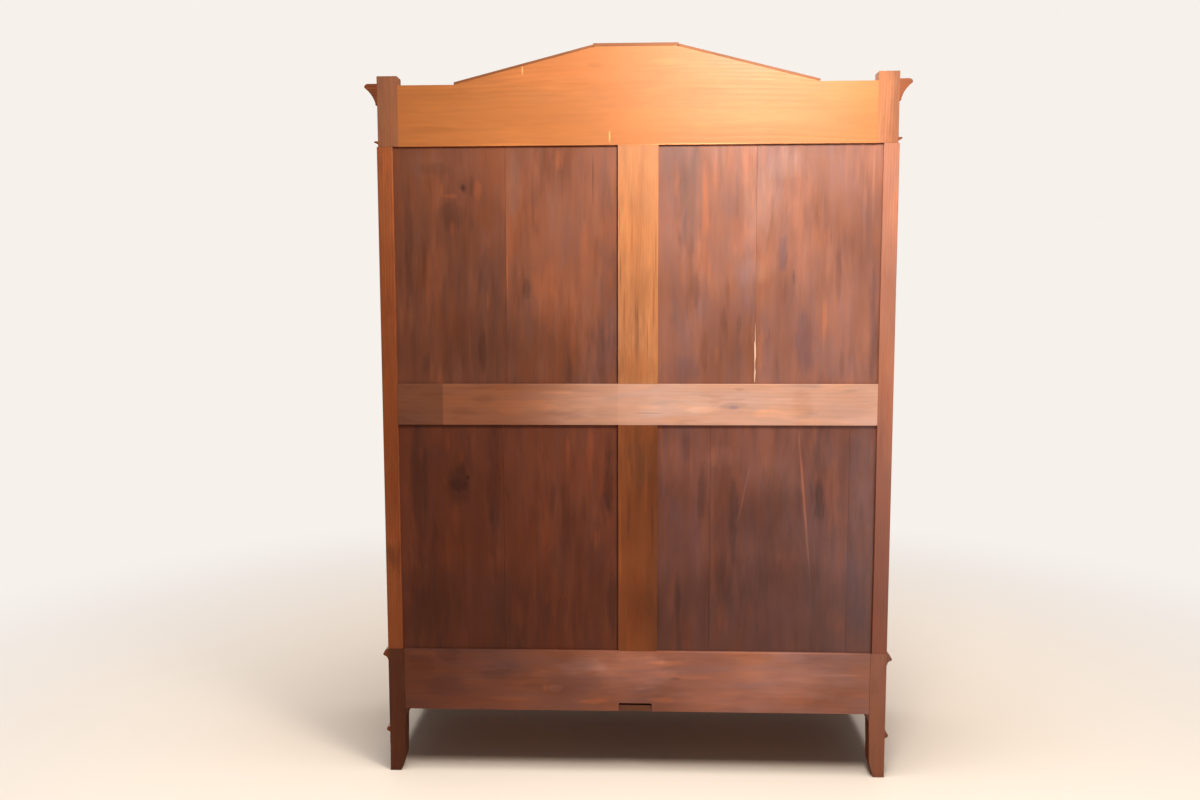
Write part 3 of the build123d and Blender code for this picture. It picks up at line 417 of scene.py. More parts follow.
# Marks on the back, by node: (tint, strength, across, along, half width, half length), in metres, and
# a lean if it isn't straight. Across and along are x and z on upright boards, z and x on level ones.
MARKS = {
    "back_panel_upper_right": [
        ("dark", 0.50, 0.525, 1.660, 0.042, 0.040), ("dark", 0.50, 0.488, 1.742, 0.022, 0.030),
        ("dark", 0.45, 0.655, 1.560, 0.012, 0.200), ("dark", 0.35, 0.575, 1.790, 0.040, 0.020),
        ("amber", 0.90, 0.530, 1.715, 0.022, 0.006), ("amber", 0.80, 0.556, 1.730, 0.005, 0.020),
        ("amber", 0.75, 0.452, 1.730, 0.012, 0.024), ("amber", 0.75, 0.528, 1.625, 0.006, 0.022),
        ("amber", 0.45, 0.600, 1.480, 0.010, 0.110), ("amber", 0.80, 0.428, 1.415, 0.004, 0.028),
        ("amber", 0.60, 0.482, 1.280, 0.005, 0.080), ("amber", 0.80, 0.218, 1.815, 0.012, 0.028),
        ("amber", 0.55, 0.262, 1.420, 0.034, 0.090), ("amber", 0.90, 0.3705, 1.495, 0.0025, 0.060),
        ("amber", 0.35, 0.150, 1.560, 0.010, 0.110), ("amber", 0.40, 0.330, 1.340, 0.008, 0.060),
        ("haze", 0.80, 0.348, 1.740, 0.020, 0.120), ("haze", 0.50, 0.600, 1.800, 0.060, 0.036),
        ("dark", 0.50, 0.313, 1.446, 0.012, 0.028), ("dark", 0.60, 0.122, 1.760, 0.003, 0.070),
        ("violet", 0.90, 0.090, 1.240, 0.050, 0.120), ("dark", 0.34, 0.360, 1.230, 0.360, 0.150),
        ("violet", 0.60, 0.080, 1.500, 0.022, 0.200), ("dark", 0.50, 0.445, 1.265, 0.010, 0.080),
        ("dark", 0.45, 0.195, 1.230, 0.012, 0.050),
    ],
    "back_panel_upper_left": [
        ("dark", 0.45, -0.156, 1.700, 0.030, 0.150), ("haze", 0.85, -0.156, 1.720, 0.026, 0.130),
        ("amber", 0.55, -0.199, 1.690, 0.009, 0.150), ("amber", 0.70, -0.112, 1.770, 0.010, 0.060),
        ("haze", 0.90, -0.416, 1.800, 0.055, 0.045), ("brown", 0.32, -0.200, 1.720, 0.150, 0.150),
        ("haze", 0.80, -0.360, 1.690, 0.060, 0.090), ("haze", 0.60, -0.324, 1.498, 0.055, 0.035),
        ("violet", 1.00, -0.420, 1.545, 0.014, 0.045), ("pale", 0.22, -0.375, 1.520, 0.020, 0.050),
        ("dark", 0.60, -0.452, 1.480, 0.005, 0.024), ("dark", 0.45, -0.253, 1.356, 0.011, 0.034),
        ("dark", 0.40, -0.298, 1.345, 0.007, 0.030), ("dark", 0.45, -0.196, 1.265, 0.012, 0.060),
        ("dark", 0.40, -0.173, 1.450, 0.012, 0.050), ("dark", 0.55, -0.578, 1.500, 0.009, 0.095),
        ("dark", 0.50, -0.592, 1.235, 0.008, 0.040), ("violet", 0.90, -0.485, 1.290, 0.036, 0.100),
        ("violet", 0.60, -0.140, 1.215, 0.050, 0.040), ("amber", 0.65, -0.362, 1.276, 0.014, 0.060),
        ("amber", 0.70, -0.540, 1.350, 0.008, 0.070), ("amber", 0.35, -0.300, 1.600, 0.030, 0.060),
        ("violet", 0.90, -0.680, 1.360, 0.007, 0.150), ("pale", 0.35, -0.648, 1.700, 0.005, 0.150),
        ("pale", 0.35, -0.672, 1.740, 0.004, 0.110),
    ],
    "back_panel_lower_right": [
        ("dark", 0.70, 0.515, 0.895, 0.030, 0.034), ("dark", 0.45, 0.520, 0.850, 0.046, 0.036),
        ("dark", 0.50, 0.640, 0.860, 0.026, 0.260), ("dark", 0.50, 0.416, 0.880, 0.018, 0.240),
        ("amber", 0.60, 0.510, 0.960, 0.006, 0.016), ("amber", 0.60, 0.553, 1.000, 0.008, 0.030),
        ("amber", 0.45, 0.530, 0.770, 0.020, 0.050), ("amber", 0.35, 0.470, 0.990, 0.010, 0.040),
        ("amber", 0.70, 0.198, 0.965, 0.006, 0.055), ("amber", 0.65, 0.133, 0.975, 0.009, 0.080),
        ("dark", 0.50, 0.245, 0.840, 0.010, 0.080), ("dark", 0.45, 0.205, 0.780, 0.014, 0.120),
        ("violet", 1.00, 0.090, 0.805, 0.014, 0.045), ("dark", 0.75, 0.076, 0.880, 0.014, 0.120),
        ("dark", 0.60, 0.072, 0.520, 0.012, 0.120), ("amber", 0.75, 0.120, 0.722, 0.013, 0.034),
        ("pale", 0.30, 0.184, 0.680, 0.003, 0.060), ("amber", 0.45, 0.300, 0.640, 0.007, 0.130),
        ("dark", 0.40, 0.590, 0.500, 0.080, 0.140), ("dark", 0.40, 0.380, 0.480, 0.300, 0.160),
        ("amber", 0.35, 0.240, 0.560, 0.018, 0.080),
    ],
    "back_panel_lower_left": [
        ("pale", 0.95, -0.493, 0.815, 0.0034, 0.210, 0.092),
        ("amber", 0.70, -0.486, 0.890, 0.0070, 0.130, 0.092), ("dark", 0.85, -0.535, 0.835, 0.014, 0.075),
        ("dark", 0.50, -0.400, 0.780, 0.100, 0.120), ("dark", 0.60, -0.288, 0.790, 0.013, 0.130),
        ("dark", 0.55, -0.194, 0.860, 0.014, 0.080), ("dark", 0.50, -0.126, 0.520, 0.010, 0.110),
        ("dark", 0.62, -0.380, 0.470, 0.420, 0.170), ("pale", 0.50, -0.315, 0.845, 0.0036, 0.100, -0.205),
        ("amber", 0.50, -0.575, 0.860, 0.022, 0.100), ("amber", 0.60, -0.258, 0.485, 0.018, 0.040),
        ("amber", 0.50, -0.105, 0.540, 0.010, 0.060), ("amber", 0.45, -0.590, 0.480, 0.030, 0.040),
        ("pale", 0.80, -0.2105, 0.490, 0.0018, 0.080), ("haze", 0.60, -0.400, 0.900, 0.080, 0.070),
        ("haze", 0.60, -0.540, 0.970, 0.050, 0.050), ("haze", 0.80, -0.660, 0.880, 0.034, 0.160),
        ("pale", 0.35, -0.110, 0.950, 0.048, 0.090), ("amber", 0.60, -0.1625, 0.960, 0.003, 0.080),
        ("brown", 0.40, -0.300, 0.580, 0.120, 0.110), ("violet", 0.60, -0.150, 0.740, 0.046, 0.110),
        ("brown", 0.40, -0.470, 0.600, 0.060, 0.100), ("pale", 0.35, -0.250, 0.960, 0.050, 0.030),
        ("violet", 0.60, -0.640, 0.560, 0.050, 0.120),
    ],
    "back_mid_rail": [
        ("violet", 0.90, 1.106, -0.284, 0.007, 0.016), ("dark", 0.35, 1.108, -0.284, 0.012, 0.036),
        ("dark", 0.35, 1.160, -0.300, 0.005, 0.016), ("dark", 0.60, 1.090, -0.040, 0.0014, 0.042),
        ("haze", 0.60, 1.120, -0.120, 0.045, 0.100), ("amber", 0.40, 1.095, -0.420, 0.018, 0.070),
        ("pale", 0.20, 1.115, 0.180, 0.050, 0.080), ("brown", 0.30, 1.165, 0.300, 0.010, 0.200),
        ("brown", 0.25, 1.115, -0.480, 0.050, 0.030), ("haze", 0.30, 1.130, -0.330, 0.030, 0.120),
        ("dark", 0.35, 1.135, 0.440, 0.012, 0.040), ("amber", 0.40, 1.110, 0.330, 0.020, 0.090),
        ("amber", 0.45, 1.150, 0.230, 0.006, 0.050), ("dark", 0.25, 1.155, -0.615, 0.005, 0.020),
        ("dark", 0.20, 1.120, -0.610, 0.050, 0.070), ("pale", 0.20, 1.100, -0.200, 0.010, 0.050),
    ],
    "crown_rear_rail": [
        ("dark", 0.20, 1.960, -0.110, 0.160, 0.420), ("bare", 0.50, 1.8548, -0.175, 0.0022, 0.170),
        ("bare", 0.80, 1.878, 0.074, 0.016, 0.002), ("amber", 0.20, 1.930, -0.050, 0.040, 0.160),
        ("pale", 0.12, 1.930, -0.330, 0.050, 0.160), ("dark", 0.22, 1.900, 0.560, 0.010, 0.080),
        ("pale", 0.25, 1.858, 0.350, 0.003, 0.090),
    ],
    "crown_rear_pediment": [
        ("dark", 0.20, 2.060, -0.080, 0.160, 0.360), ("bare", 0.70, 2.062, 0.320, 0.012, 0.0020),
        ("amber", 0.35, 2.075, -0.170, 0.010, 0.030), ("dark", 0.22, 2.075, 0.115, 0.008, 0.026),
        ("pale", 0.20, 2.085, -0.100, 0.012, 0.050),
    ],
    "base_rear_rail": [
        ("dark", 0.35, 0.362, 0.556, 0.018, 0.034), ("dark", 0.35, 0.330, 0.640, 0.034, 0.040),
        ("dark", 0.35, 0.300, 0.380, 0.026, 0.080), ("violet", 0.50, 0.320, 0.420, 0.022, 0.080),
        ("violet", 0.70, 0.260, 0.560, 0.040, 0.070), ("amber", 0.45, 0.366, 0.640, 0.008, 0.040),
        ("amber", 0.80, 0.262, 0.270, 0.010, 0.006), ("pale", 0.50, 0.262, 0.240, 0.011, 0.020),
        ("amber", 0.55, 0.228, 0.375, 0.007, 0.070), ("amber", 0.80, 0.224, 0.120, 0.008, 0.050),
        ("violet", 0.60, 0.290, 0.180, 0.050, 0.070), ("pale", 0.55, 0.320, 0.010, 0.060, 0.110),
        ("amber", 0.75, 0.232, -0.076, 0.009, 0.040), ("amber", 0.70, 0.345, -0.100, 0.006, 0.060),
        ("amber", 0.50, 0.300, -0.180, 0.006, 0.060), ("pale", 0.45, 0.350, -0.040, 0.012, 0.040),
        ("dark", 0.45, 0.296, -0.120, 0.005, 0.016), ("haze", 0.70, 0.330, 0.160, 0.030, 0.070),
        # Painted light towards -X: the broad pale and haze patches paint sheen, and the thin pale line on
        # the top edge at 0.3775 is a painted highlight.
        ("pale", 0.60, 0.300, -0.320, 0.100, 0.280), ("haze", 0.45, 0.320, -0.500, 0.070, 0.220),
        ("pale", 0.90, 0.3775, -0.380, 0.0022, 0.310), ("pale", 0.35, 0.312, -0.600, 0.003, 0.080),
        ("pale", 0.30, 0.290, 0.060, 0.090, 0.160),
    ],
    "rear_post_right": [
        ("dark", 0.50, 0.716, 0.655, 0.030, 0.050), ("violet", 0.40, 0.716, 0.660, 0.030, 0.030),
        ("brown", 0.50, 0.716, 1.080, 0.050, 0.380), ("pale", 0.30, 0.716, 1.720, 0.040, 0.160),
    ],
    # The pale patch on the post at -X is painted light: that post is lit more than the one at +X.
    "crown_posts": [("pale", 0.65, -0.680, 1.950, 0.036, 0.160)],
    # Painted light and shade: the pale patch lights the leg at -X and the umber one shades the leg at +X.
    "base_legs": [
        ("pale", 1.00, -0.716, 0.200, 0.060, 0.300), ("umber", 0.62, 0.716, 0.200, 0.060, 0.300),
    ],
    "back_muntin_upper": [
        ("dark", 0.70, 0.043, 1.500, 0.0024, 0.060), ("dark", 0.60, 0.046, 1.640, 0.0020, 0.050),
        ("brown", 0.60, 0.032, 1.380, 0.0030, 0.070), ("dark", 0.50, -0.006, 1.330, 0.0024, 0.080),
        ("brown", 0.70, -0.052, 1.420, 0.0024, 0.110), ("dark", 0.60, -0.058, 1.560, 0.0020, 0.080),
        ("dark", 0.50, -0.034, 1.300, 0.0024, 0.060), ("brown", 0.40, 0.010, 1.620, 0.0040, 0.090),
        ("brown", 0.35, -0.010, 1.230, 0.050, 0.050),
    ],
    "back_muntin_lower": [
        ("violet", 0.80, -0.010, 0.960, 0.030, 0.090), ("amber", 0.70, 0.044, 0.700, 0.004, 0.140),
        ("dark", 0.50, 0.020, 0.800, 0.006, 0.080), ("amber", 0.60, -0.030, 0.900, 0.004, 0.100),
        ("brown", 0.40, 0.000, 0.520, 0.050, 0.100), ("dark", 0.50, -0.050, 0.760, 0.004, 0.090),
    ],
}

# Finishes shared by many boards.
HONEY = {"spread": 0.22, "streak": 0.4, "patch": 0.35, "rings": 0.14, "spacing": 11, "amber": 0.06,
         "hue": 0.25, "corner_shade": 0.2}
STAINED = {"streak": 0.60, "fleck": 0.55, "patch": 1.1, "rings": 0.04, "hue": 1.0, "amber": 0.30,
           "broad": 1.8, "fibre": 0.07, "corner_shade": 0.2}
POLISHED = {"coat": 0.35, "rough": 0.36, "rings": 0.35, "spread": 0.4}
RAW = (196, 152, 104)
RAW_LOOK = {"spread": 0.25, "rings": 0.3, "rough": 0.62, "amber": 0.1}
SPLIT_SEAM = -0.344             # x of the open joint in the upper left panel

# Node: direction of the grain, middle colour, and what differs from an ordinary board.
WOODS = {
    "crown_rear_rail": ("X", (204, 127, 68), {**HONEY, "pith": (1.99, 0.05)}),
    "crown_rear_pediment": ("X", (206, 127, 69), {**HONEY, "pith": (2.05, 0.04), "rise": 0.10}),
    "crown_posts": ("Z", (160, 103, 72), {
        "streak": 0.35, "corner_shade": 0.3, "wear": 0.08, "rough": 0.8, "front": ("rust", 0.8)}),
    # Its pale pinkish middle colour is partly the rail's own and partly painted sheen, and the umber that
    # fades in towards +X darkens that end as painted shade.
    "back_mid_rail": ("X", (226, 176, 152), {
        "spread": 0.24, "pith": (1.11, 0.10), "rings": 0.10, "amber": 0.3, "broad": 2.0, "corner_shade": 0.2,
        "butts": ((0.051, "dark", 0.12), (0.562, "dark", 0.62), (0.195, "umber", 1.00, 0.225))}),
    "back_muntin_upper": ("Z", (194, 128, 81), {
        "spread": 0.40, "streak": 0.75, "rings": 0.05, "patch": 0.6, "spacing": 6, "pith": (0.12, 0.05),
        "corner_shade": 0.1, "fleck": 0.6, "broad": 1.2, "fibre": 0.22}),
    "back_muntin_lower": ("Z", (138, 76, 37), {
        "spread": 0.44, "streak": 0.5, "rings": 0.02, "patch": 1.0, "broad": 2.2, "fleck": 0.5,
        "fibre": 0.07, "corner_shade": 0.1}),
    "back_panel_upper_left": ("Z", (152, 100, 82), {
        **STAINED, "seams": ((SPLIT_SEAM, "dark", 0.04),), "rise": 0.14, "pith": (-0.39, -0.14)}),
    "back_panel_upper_right": ("Z", (140, 84, 60), {
        **STAINED, "knots": ((0.495, 1.738, 0.011),), "seams": ((0.373, "dark", 0.26),),
        "pith": (0.22, 0.12)}),
    "back_panel_lower_left": ("Z", (122, 76, 64), {
        **STAINED, "seams": ((-0.620, "amber", 0.12), (-0.218, "pale", 0.08)), "rise": 0.12,
        "pith": (-0.40, -0.02)}),
    "back_panel_lower_right": ("Z", (116, 61, 40), {
        **STAINED, "knots": ((0.493, 0.897, 0.007),), "seams": ((0.388, "dark", 0.20),),
        "pith": (0.22, 0.1)}),
    # Painted sheen: the pinkish whitening that fades in above 1 m on this post.
    "rear_post_left": ("Z", (144, 78, 50), {
        "streak": 0.35, "patch": 0.4, "wear": 0.06, "corner_shade": 0.3, "butts": ((1.0, "painted_sheen", 1.0, 0.5),)}),
    "rear_post_right": ("Z", (166, 92, 50), {"streak": 0.35, "patch": 0.5, "wear": 0.3, "corner_shade": 0.3}),
    # The umber that fades in towards +X darkens that end of the rail: painted shade, opposite the painted
    # sheen in its marks.
    "base_rear_rail": ("X", (155, 101, 82), {
        **STAINED, "fleck": 0.35, "streak": 0.4, "amber": 0.15, "broad": 2.4, "warp": 0.07,
        "pith": (0.30, 0.05), "butts": ((0.42, "umber", 0.66, 0.24),)}),
    "base_legs": ("Z", (122, 74, 52), {"streak": 0.4, "front": ("amber", 0.8)}),
    "leg_corner_blocks": ("X", (96, 56, 40), {}),
    "base_side_rails": ("Y", (140, 76, 42), POLISHED),
    "base_front_frame": ("X", (140, 76, 42), POLISHED),
    "base_moulding": ("X", (132, 70, 40), POLISHED),
    "base_bead": ("X", (132, 70, 40), POLISHED),
    "side_rails": ("Y", (146, 80, 44), POLISHED),
    "side_panels": ("Z_side", (164, 92, 50), {
        **POLISHED, "rise": 0.16, "pith": (0.0, -0.12), "spacing": 10}),
    "front_posts": ("Z", (144, 78, 42), POLISHED),
    "crown_front_boards": ("X", (162, 90, 48), {**POLISHED, "rise": 0.12, "pith": (1.96, 0.03)}),
    "crown_side_rails": ("Y", (146, 80, 44), POLISHED),
    "crown_bead": ("X", (134, 72, 40), POLISHED),
    "crown_cornice": ("X", (140, 76, 42), POLISHED),
    "crown_roof_boards": ("X_flat", (150, 92, 52), {**RAW_LOOK, "corner_shade": 0.3, "wear": 0.1}),
    "crown_ceiling_boards": ("X_flat", (156, 116, 78), {**RAW_LOOK, "rough": 0.8}),
    "floor_boards": ("X_flat", RAW, RAW_LOOK),
    "hat_shelf": ("X_flat", RAW, RAW_LOOK),
    "door_left_frame": ("Z", (144, 78, 42), POLISHED),
    "door_right_frame": ("Z", (144, 78, 42), POLISHED),
    "door_left_panels": ("Z", (168, 94, 50), {
        **POLISHED, "rise": 0.13, "pith": (-0.35, -0.14), "spacing": 11}),
    "door_right_panels": ("Z", (168, 94, 50), {
        **POLISHED, "rise": 0.13, "pith": (0.35, -0.14), "spacing": 11}),
    "door_left_mouldings": ("Z", (134, 72, 40), POLISHED),
    "door_right_mouldings": ("Z", (134, 72, 40), POLISHED),
    "door_cover_strip": ("Z", (138, 74, 40), POLISHED),
    "drawer_left_front": ("X", (160, 88, 48), {**POLISHED, "pith": (0.28, 0.03), "rise": 0.08}),
    "drawer_right_front": ("X", (160, 88, 48), {**POLISHED, "pith": (0.28, 0.03), "rise": 0.08}),
    "drawer_left_knobs": ("Y", (112, 60, 36), {**POLISHED, "wear": 0}),
    "drawer_right_knobs": ("Y", (112, 60, 36), {**POLISHED, "wear": 0}),
    "drawer_left_box": ("X", RAW, RAW_LOOK),
    "drawer_right_box": ("X", RAW, RAW_LOOK),
    "back_top_rail": ("X", RAW, RAW_LOOK),
    "door_stops": ("X", RAW, RAW_LOOK),
    "shelf_cleats": ("Y", RAW, RAW_LOOK),
    "clothes_rail": ("X", RAW, RAW_LOOK),
    "clothes_rail_brackets": ("Y", RAW, RAW_LOOK),
    "drawer_centre_runner": ("Y", (120, 76, 54), RAW_LOOK),
    "base_side_bearers": ("Y", RAW, RAW_LOOK),
}
BRASS = ("hinge_pins", "door_left_hinges", "door_right_hinges", "key_escutcheon")
IRON = ("lock_case", "lock_bolt", "key", "door_left_fittings", "bolt_top", "bolt_bottom")
WOOD_ARRIS, FINE_ARRIS = 1.0 * MM, 0.25 * MM        # widths of the bevels on the corners


def dress(obj, material):
    """Gives the whole object that material."""
    if not obj.data.materials:
        obj.data.materials.append(material)
    for slot in obj.material_slots:
        slot.material = material


def board_numbers():
    """A geometry group that gives each separate board of a mesh its own number, for its material."""
    group = bpy.data.node_groups.new("board_numbers", "GeometryNodeTree")
    group.interface.new_socket("Geometry", in_out="INPUT", socket_type="NodeSocketGeometry")
    group.interface.new_socket("Geometry", in_out="OUTPUT", socket_type="NodeSocketGeometry")
    start, island, number, store, end = [group.nodes.new(kind) for kind in (
        "NodeGroupInput", "GeometryNodeInputMeshIsland", "FunctionNodeRandomValue",
        "GeometryNodeStoreNamedAttribute", "NodeGroupOutput")]
    store.data_type = "FLOAT"
    store.domain = "POINT"
    store.inputs["Name"].default_value = BOARD
    value = next(socket for socket in store.inputs if socket.name == "Value" and socket.enabled)
    chance = next(socket for socket in number.outputs if socket.enabled)
    group.links.new(island.outputs["Island Index"], number.inputs["ID"])
    group.links.new(chance, value)
    group.links.new(start.outputs[0], store.inputs["Geometry"])
    group.links.new(store.outputs["Geometry"], end.inputs[0])
    return group


def soften(obj, width, numbers):
    """Joins the faces of an imported mesh, numbers its boards and rounds its corners a little."""
    weld = obj.modifiers.new("join", "WELD")
    weld.merge_threshold = 0.01 * MM
    obj.modifiers.new("boards", "NODES").node_group = numbers
    bevel = obj.modifiers.new("arris", "BEVEL")
    bevel.width = width
    bevel.segments = 2
    bevel.limit_method = "ANGLE"
    bevel.angle_limit = math.radians(32)
    obj.modifiers.new("normals", "WEIGHTED_NORMAL").keep_sharp = False


def soften_nodes():
    """Softens the corners of the CAD nodes, less on metal and where the photo shows crisp edges."""
    numbers = board_numbers()
    for node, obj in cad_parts.items():
        fine = node in BRASS + IRON or node.startswith(("back_panel", "crown_rear"))
        soften(obj, FINE_ARRIS if fine else WOOD_ARRIS, numbers)


# ---- Small fittings -----------------------------------------------------------------------
HEAD_RINGS = ((1.0, 0.0), (1.0, 0.18), (0.86, 0.36), (0.55, 0.50))      # (radius, height), in head radii
HEAD_TOP, SLOT_FLOOR = 0.56, 0.1                                        # heights, in head radii
HEAD_SIDES = 24
SLOT_WALL = 0.04 * MM           # how far in the foot of a slot's wall stands
FIRST_TURN, NEXT_TURN = 0.7, 1.9


def domed_head(radius, slot_width):
    """The head of a screw, nail or pin on the XY plane. A screw's has a slot."""
    head = bmesh.new()
    turns = [2 * math.pi * side / HEAD_SIDES for side in range(HEAD_SIDES)]
    loops = []
    for share, height in HEAD_RINGS:
        loops.append([head.verts.new((radius * share * math.cos(turn), radius * share * math.sin(turn),
                                      radius * height)) for turn in turns])
    top = head.verts.new((0, 0, radius * HEAD_TOP))
    for low, high in zip(loops, loops[1:]):
        for a in range(HEAD_SIDES):
            b = (a + 1) % HEAD_SIDES
            head.faces.new((low[a], low[b], high[b], high[a]))
    for a in range(HEAD_SIDES):
        head.faces.new((loops[-1][a], loops[-1][(a + 1) % HEAD_SIDES], top))
    head.faces.new(list(reversed(loops[0])))
    if slot_width:
        for wall in (slot_width / 2, slot_width / 2 - SLOT_WALL):
            for side in (1, -1):
                bmesh.ops.bisect_plane(head, geom=head.verts[:] + head.edges[:] + head.faces[:],
                                       plane_co=(wall * side, 0, 0), plane_no=(side, 0, 0))
        # What lies between the inner cuts sinks to the slot's floor.
        inside = slot_width / 2 - SLOT_WALL * 0.75
        for vert in head.verts:
            if abs(vert.co.x) < inside and vert.co.z > SLOT_FLOOR * radius:
                vert.co.z = SLOT_FLOOR * radius
    return head


def fasteners(name, places, outward, radius, body, material, slot_width=0.0):
    """Domed heads in one piece that rides on the body, each turned a little further than the last."""
    everything = bmesh.new()
    stand = Vector(outward).to_track_quat("Z", "Y").to_matrix().to_4x4()
    for index, place in enumerate(places):
        head = domed_head(radius, slot_width)
        spin = Matrix.Rotation(FIRST_TURN + NEXT_TURN * index, 4, "Z")
        head.transform(Matrix.Translation(place) @ stand @ spin)
        copy = bpy.data.meshes.new("head")
        head.to_mesh(copy)
        head.free()
        everything.from_mesh(copy)
        bpy.data.meshes.remove(copy)
    obj = mesh_piece(name, everything, body, material)
    for polygon in obj.data.polygons:
        polygon.use_smooth = True
    return obj


def mesh_piece(name, shape, body, material):
    """A new piece of that shape, which rides on the body."""
    mesh = bpy.data.meshes.new(name)
    shape.to_mesh(mesh)
    shape.free()
    mesh.materials.append(material)
    obj = bpy.data.objects.new(name, mesh)
    bpy.context.scene.collection.objects.link(obj)
    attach(obj, body)
    return obj


def lock_fixings():
    """Four screws in the lock case and two pins in the escutcheon."""
    low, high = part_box("lock_case")
    inset = 7 * MM
    corners = [(x, high.y, z) for x in (low.x + inset, high.x - inset)
               for z in (low.z + inset, high.z - inset)]
    screws = fasteners("lock_screws", corners, (0, 1, 0), 3 * MM, "door_right", iron, 0.9 * MM)
    low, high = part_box("key_escutcheon")
    inset = 4 * MM
    ends = [((low.x + high.x) / 2, low.y, z) for z in (low.z + inset, high.z - inset)]
    pins = fasteners("escutcheon_pins", ends, (0, -1, 0), 1.5 * MM, "door_right", brass)


def bolt_guide_screws():
    """Two screws in the plate that guides each of the bolts inside the left door."""
    plate_ends = [corner.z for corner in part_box("door_left_fittings")]
    plate_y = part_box("door_left_frame")[1].y + 2 * MM
    places = []
    for node, plate_end, inner in (("bolt_top", plate_ends[1], -1), ("bolt_bottom", plate_ends[0], 1)):
        low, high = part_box(node)
        x = (low.x + high.x) / 2
        for along, across in ((25 * MM, 9 * MM), (65 * MM, -9 * MM)):
            places.append((x + across, plate_y, plate_end + inner * along))
    screws = fasteners("bolt_guide_screws", places, (0, 1, 0), 2.6 * MM, "door_left", iron, 0.8 * MM)


def roof_nails():
    """Nails through the sloping roof boards into the two pediment boards."""
    flat_half = 114 * MM        # half the length of the pediment's level top
    board_thick = 7 * MM
    inset, eaves = 12 * MM, 50 * MM
    count, reach = 5, 0.96      # nails in a row, and how much of the slope the row takes
    low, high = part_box("crown_rear_pediment")
    run, rise = high.x - flat_half, high.z - low.z
    slope = math.hypot(run, rise)
    for side, name in ((1, "roof_nails_right"), (-1, "roof_nails_left")):
        outward = Vector((side * rise / slope, 0, run / slope))
        places = []
        for y in (CAD_BOX[0][1] + eaves, BACK_Y - inset):
            for index in range(count):
                share = (index + 0.5) / count
                foot = Vector((side * (high.x - run * share * reach), y, low.z + rise * share * reach))
                places.append(foot + outward * board_thick)
        fasteners(name, places, outward, 2.2 * MM, "carcass", iron)


def split_in_panel():
    """Raw wood in the open joint of the upper left panel, wider in two places."""
    proud, thick, wander = 0.12 * MM, 0.5 * MM, 0.5 * MM
    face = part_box("back_panel_upper_left")[1].y + proud
    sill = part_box("back_mid_rail")[1].z
    # Millimetres above the middle rail, and half the width there.
    outline = ((4, 0.9), (18, 2.4), (34, 2.7), (45, 1.2), (60, 1.2), (78, 2.7), (100, 3.2), (118, 2.2),
               (126, 1.0), (145, 0.8), (175, 0.3))
    shape = bmesh.new()
    rows = []
    # The crack wanders a little to either side from row to row.
    for index, (height, half) in enumerate(outline):
        x = SPLIT_SEAM + wander * math.sin(index * 2.1)
        rows.append([shape.verts.new((x + side * half * MM, face - drop, sill + height * MM))
                     for side, drop in ((-1, thick), (-0.7, 0), (0.7, 0), (1, thick))])
    for low, high in zip(rows, rows[1:]):
        for a in range(4):
            b = (a + 1) % 4
            shape.faces.new((low[a], low[b], high[b], high[a]))
    shape.faces.new(rows[0])
    shape.faces.new(list(reversed(rows[-1])))
    bmesh.ops.recalc_face_normals(shape, faces=shape.faces[:])
    raw = wood("raw_split", "Z", (240, 204, 178), spread=0.25, fibre=0.3, wear=0, corner_shade=0)
    mesh_piece("panel_split", shape, "carcass", raw)


# ---- Stage, light and camera --------------------------------------------------------------
BACKDROP = (247, 241, 236)
FLOOR_SEEN, FLOOR_BOUNCE = (236, 224, 210), (150, 118, 96)      # to the camera, and to other surfaces
FADE_START, FADE_END = 1.0, 3.6                                 # how far out the floor fades
LAMPLIGHT, SOFT_LIGHT, PALE_LIGHT = (1.0, 0.90, 0.80), (1.0, 0.95, 0.90), (1.0, 0.97, 0.97)
FLOOR_LIGHT = (1.0, 0.975, 0.95)
AMBIENT, AMBIENT_STRENGTH = (1, 0.93, 0.88, 1), 0.16


def floor():
    """A round pale floor. Away from the object it fades into the backdrop colour."""
    bpy.ops.mesh.primitive_circle_add(vertices=128, radius=30, fill_type="NGON")
    obj = bpy.context.object
    obj.name = "stage_floor"
    g = Graph("stage_floor")
    direct = g.node("LightPath", "Is Camera Ray")
    g.finish(g.mix(direct, linear(FLOOR_BOUNCE), linear(FLOOR_SEEN)), 0.6, 0.5, 0.1 * MM, specular=0.2)
    glow = g.tree.nodes.new("ShaderNodeEmission")
    glow.inputs["Color"].default_value = linear(BACKDROP)
    distance = g.vector("LENGTH", g.node("TexCoord", "Object"), output="Value")
    blend = g.tree.nodes.new("ShaderNodeMixShader")
    g.put(blend.inputs[0], g.times(direct, g.steps(distance, FADE_START, FADE_END)))
    g.put(blend.inputs[1], g.shader.outputs["BSDF"])
    g.put(blend.inputs[2], glow.outputs["Emission"])
    g.tree.links.new(blend.outputs[0], g.output.inputs["Surface"])
    dress(obj, g.material)
    return obj


def area_light(name, place, target, size, power, colour, receivers=None):
    light = bpy.data.lights.new(name, "AREA")
    light.shape = "DISK"
    light.size = size
    light.energy = power
    light.color = colour
    obj = bpy.data.objects.new(name, light)
    obj.location = place
    obj.rotation_euler = (Vector(target) - Vector(place)).to_track_quat("-Z", "Y").to_euler()
    obj.visible_camera = False
    obj.light_linking.receiver_collection = receivers
    bpy.context.scene.collection.objects.link(obj)


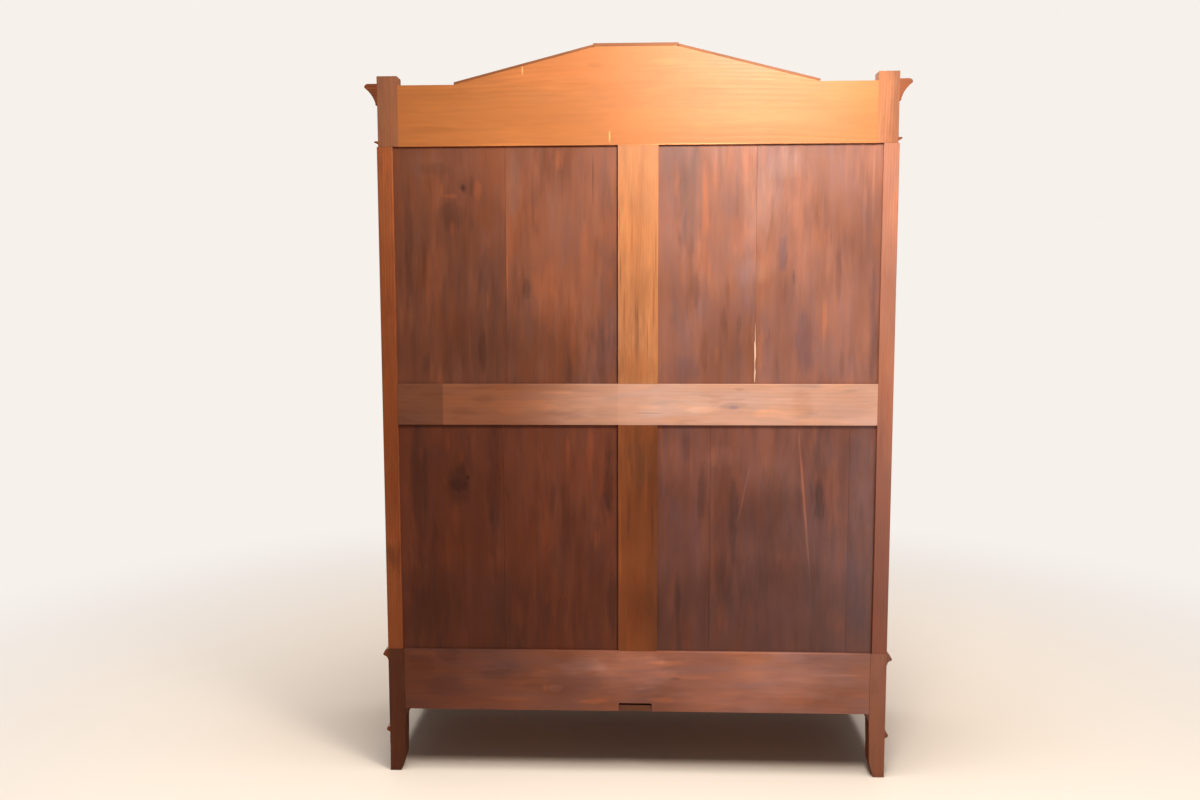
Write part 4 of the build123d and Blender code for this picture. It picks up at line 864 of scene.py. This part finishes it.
def lights(ground):
    """A warm lamp behind the wardrobe, pale light off the floor beside it, and soft light round it."""
    on_floor = bpy.data.collections.new("floor_only")
    on_floor.objects.link(ground)
    off_floor = bpy.data.collections.new("not_floor")
    off_floor.objects.link(ground)
    off_floor.collection_objects[0].light_linking.link_state = "EXCLUDE"
    area_light("room_lamp", (-0.43, BACK_Y + 0.95, 2.40), (-0.1, BACK_Y, 1.3), 0.55, 27, LAMPLIGHT)
    area_light("floor_bounce", (-1.35, BACK_Y + 1.25, 0.20), (-0.4, BACK_Y, 0.9), 1.2, 11, PALE_LIGHT,
               off_floor)
    area_light("front_lamp", (1.5, -3.2, 2.7), (0, -0.3, 1.1), 1.6, 130, SOFT_LIGHT, off_floor)
    area_light("right_fill", (3.6, -0.6, 1.9), (0, 0, 1.1), 2.2, 35, SOFT_LIGHT, off_floor)
    area_light("left_fill", (-3.6, -0.6, 1.9), (0, 0, 1.1), 2.2, 45, SOFT_LIGHT, off_floor)
    area_light("floor_light", (0.0, 0.5, 5.0), (0, 0.2, 0), 3.5, 330, FLOOR_LIGHT, on_floor)


def surroundings():
    """The backdrop colour to the camera, and faint warm light to everything else."""
    world = bpy.data.worlds.new("studio")
    bpy.context.scene.world = world
    world.use_nodes = True
    tree = world.node_tree
    tree.nodes.clear()
    path = tree.nodes.new("ShaderNodeLightPath")
    blend = tree.nodes.new("ShaderNodeMixShader")
    output = tree.nodes.new("ShaderNodeOutputWorld")
    unseen, seen = (AMBIENT, AMBIENT_STRENGTH), (linear(BACKDROP), 1.0)
    for socket, (colour, strength) in zip(blend.inputs[1:], (unseen, seen)):
        glow = tree.nodes.new("ShaderNodeBackground")
        glow.inputs["Color"].default_value = colour
        glow.inputs["Strength"].default_value = strength
        tree.links.new(glow.outputs[0], socket)
    tree.links.new(path.outputs["Is Camera Ray"], blend.inputs[0])
    tree.links.new(blend.outputs[0], output.inputs["Surface"])


def camera():
    """Stands 2.93 m behind the wardrobe at eye height, turned and tipped a little."""
    data = bpy.data.cameras.new("camera")
    data.sensor_width = 36
    data.lens = 30.48
    obj = bpy.data.objects.new("camera", data)
    bpy.context.scene.collection.objects.link(obj)
    place = Vector((-0.009, BACK_Y + 2.933, 1.412))
    yaw, pitch, roll = [math.radians(angle) for angle in (180 + 2.185, 90 - 5.52, -0.134)]
    turn = Matrix.Rotation(yaw, 4, "Z") @ Matrix.Rotation(pitch, 4, "X") @ Matrix.Rotation(roll, 4, "Z")
    obj.matrix_world = Matrix.Translation(place) @ turn
    bpy.context.scene.camera = obj


for node, (grain, colour, look) in WOODS.items():
    dress(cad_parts[node], wood("wood_" + node, grain, colour, marks=MARKS.get(node, ()), **look))
brass = metal("brass", (190, 150, 84), (120, 92, 54), 0.35)
iron = metal("iron", (96, 92, 88), (58, 50, 45), 0.5)
for names, material in ((BRASS, brass), (IRON, iron)):
    for node in names:
        dress(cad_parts[node], material)
soften_nodes()
lock_fixings()
bolt_guide_screws()
roof_nails()
split_in_panel()
lights(floor())
surroundings()
camera()
bpy.context.scene.view_settings.view_transform = "Standard"
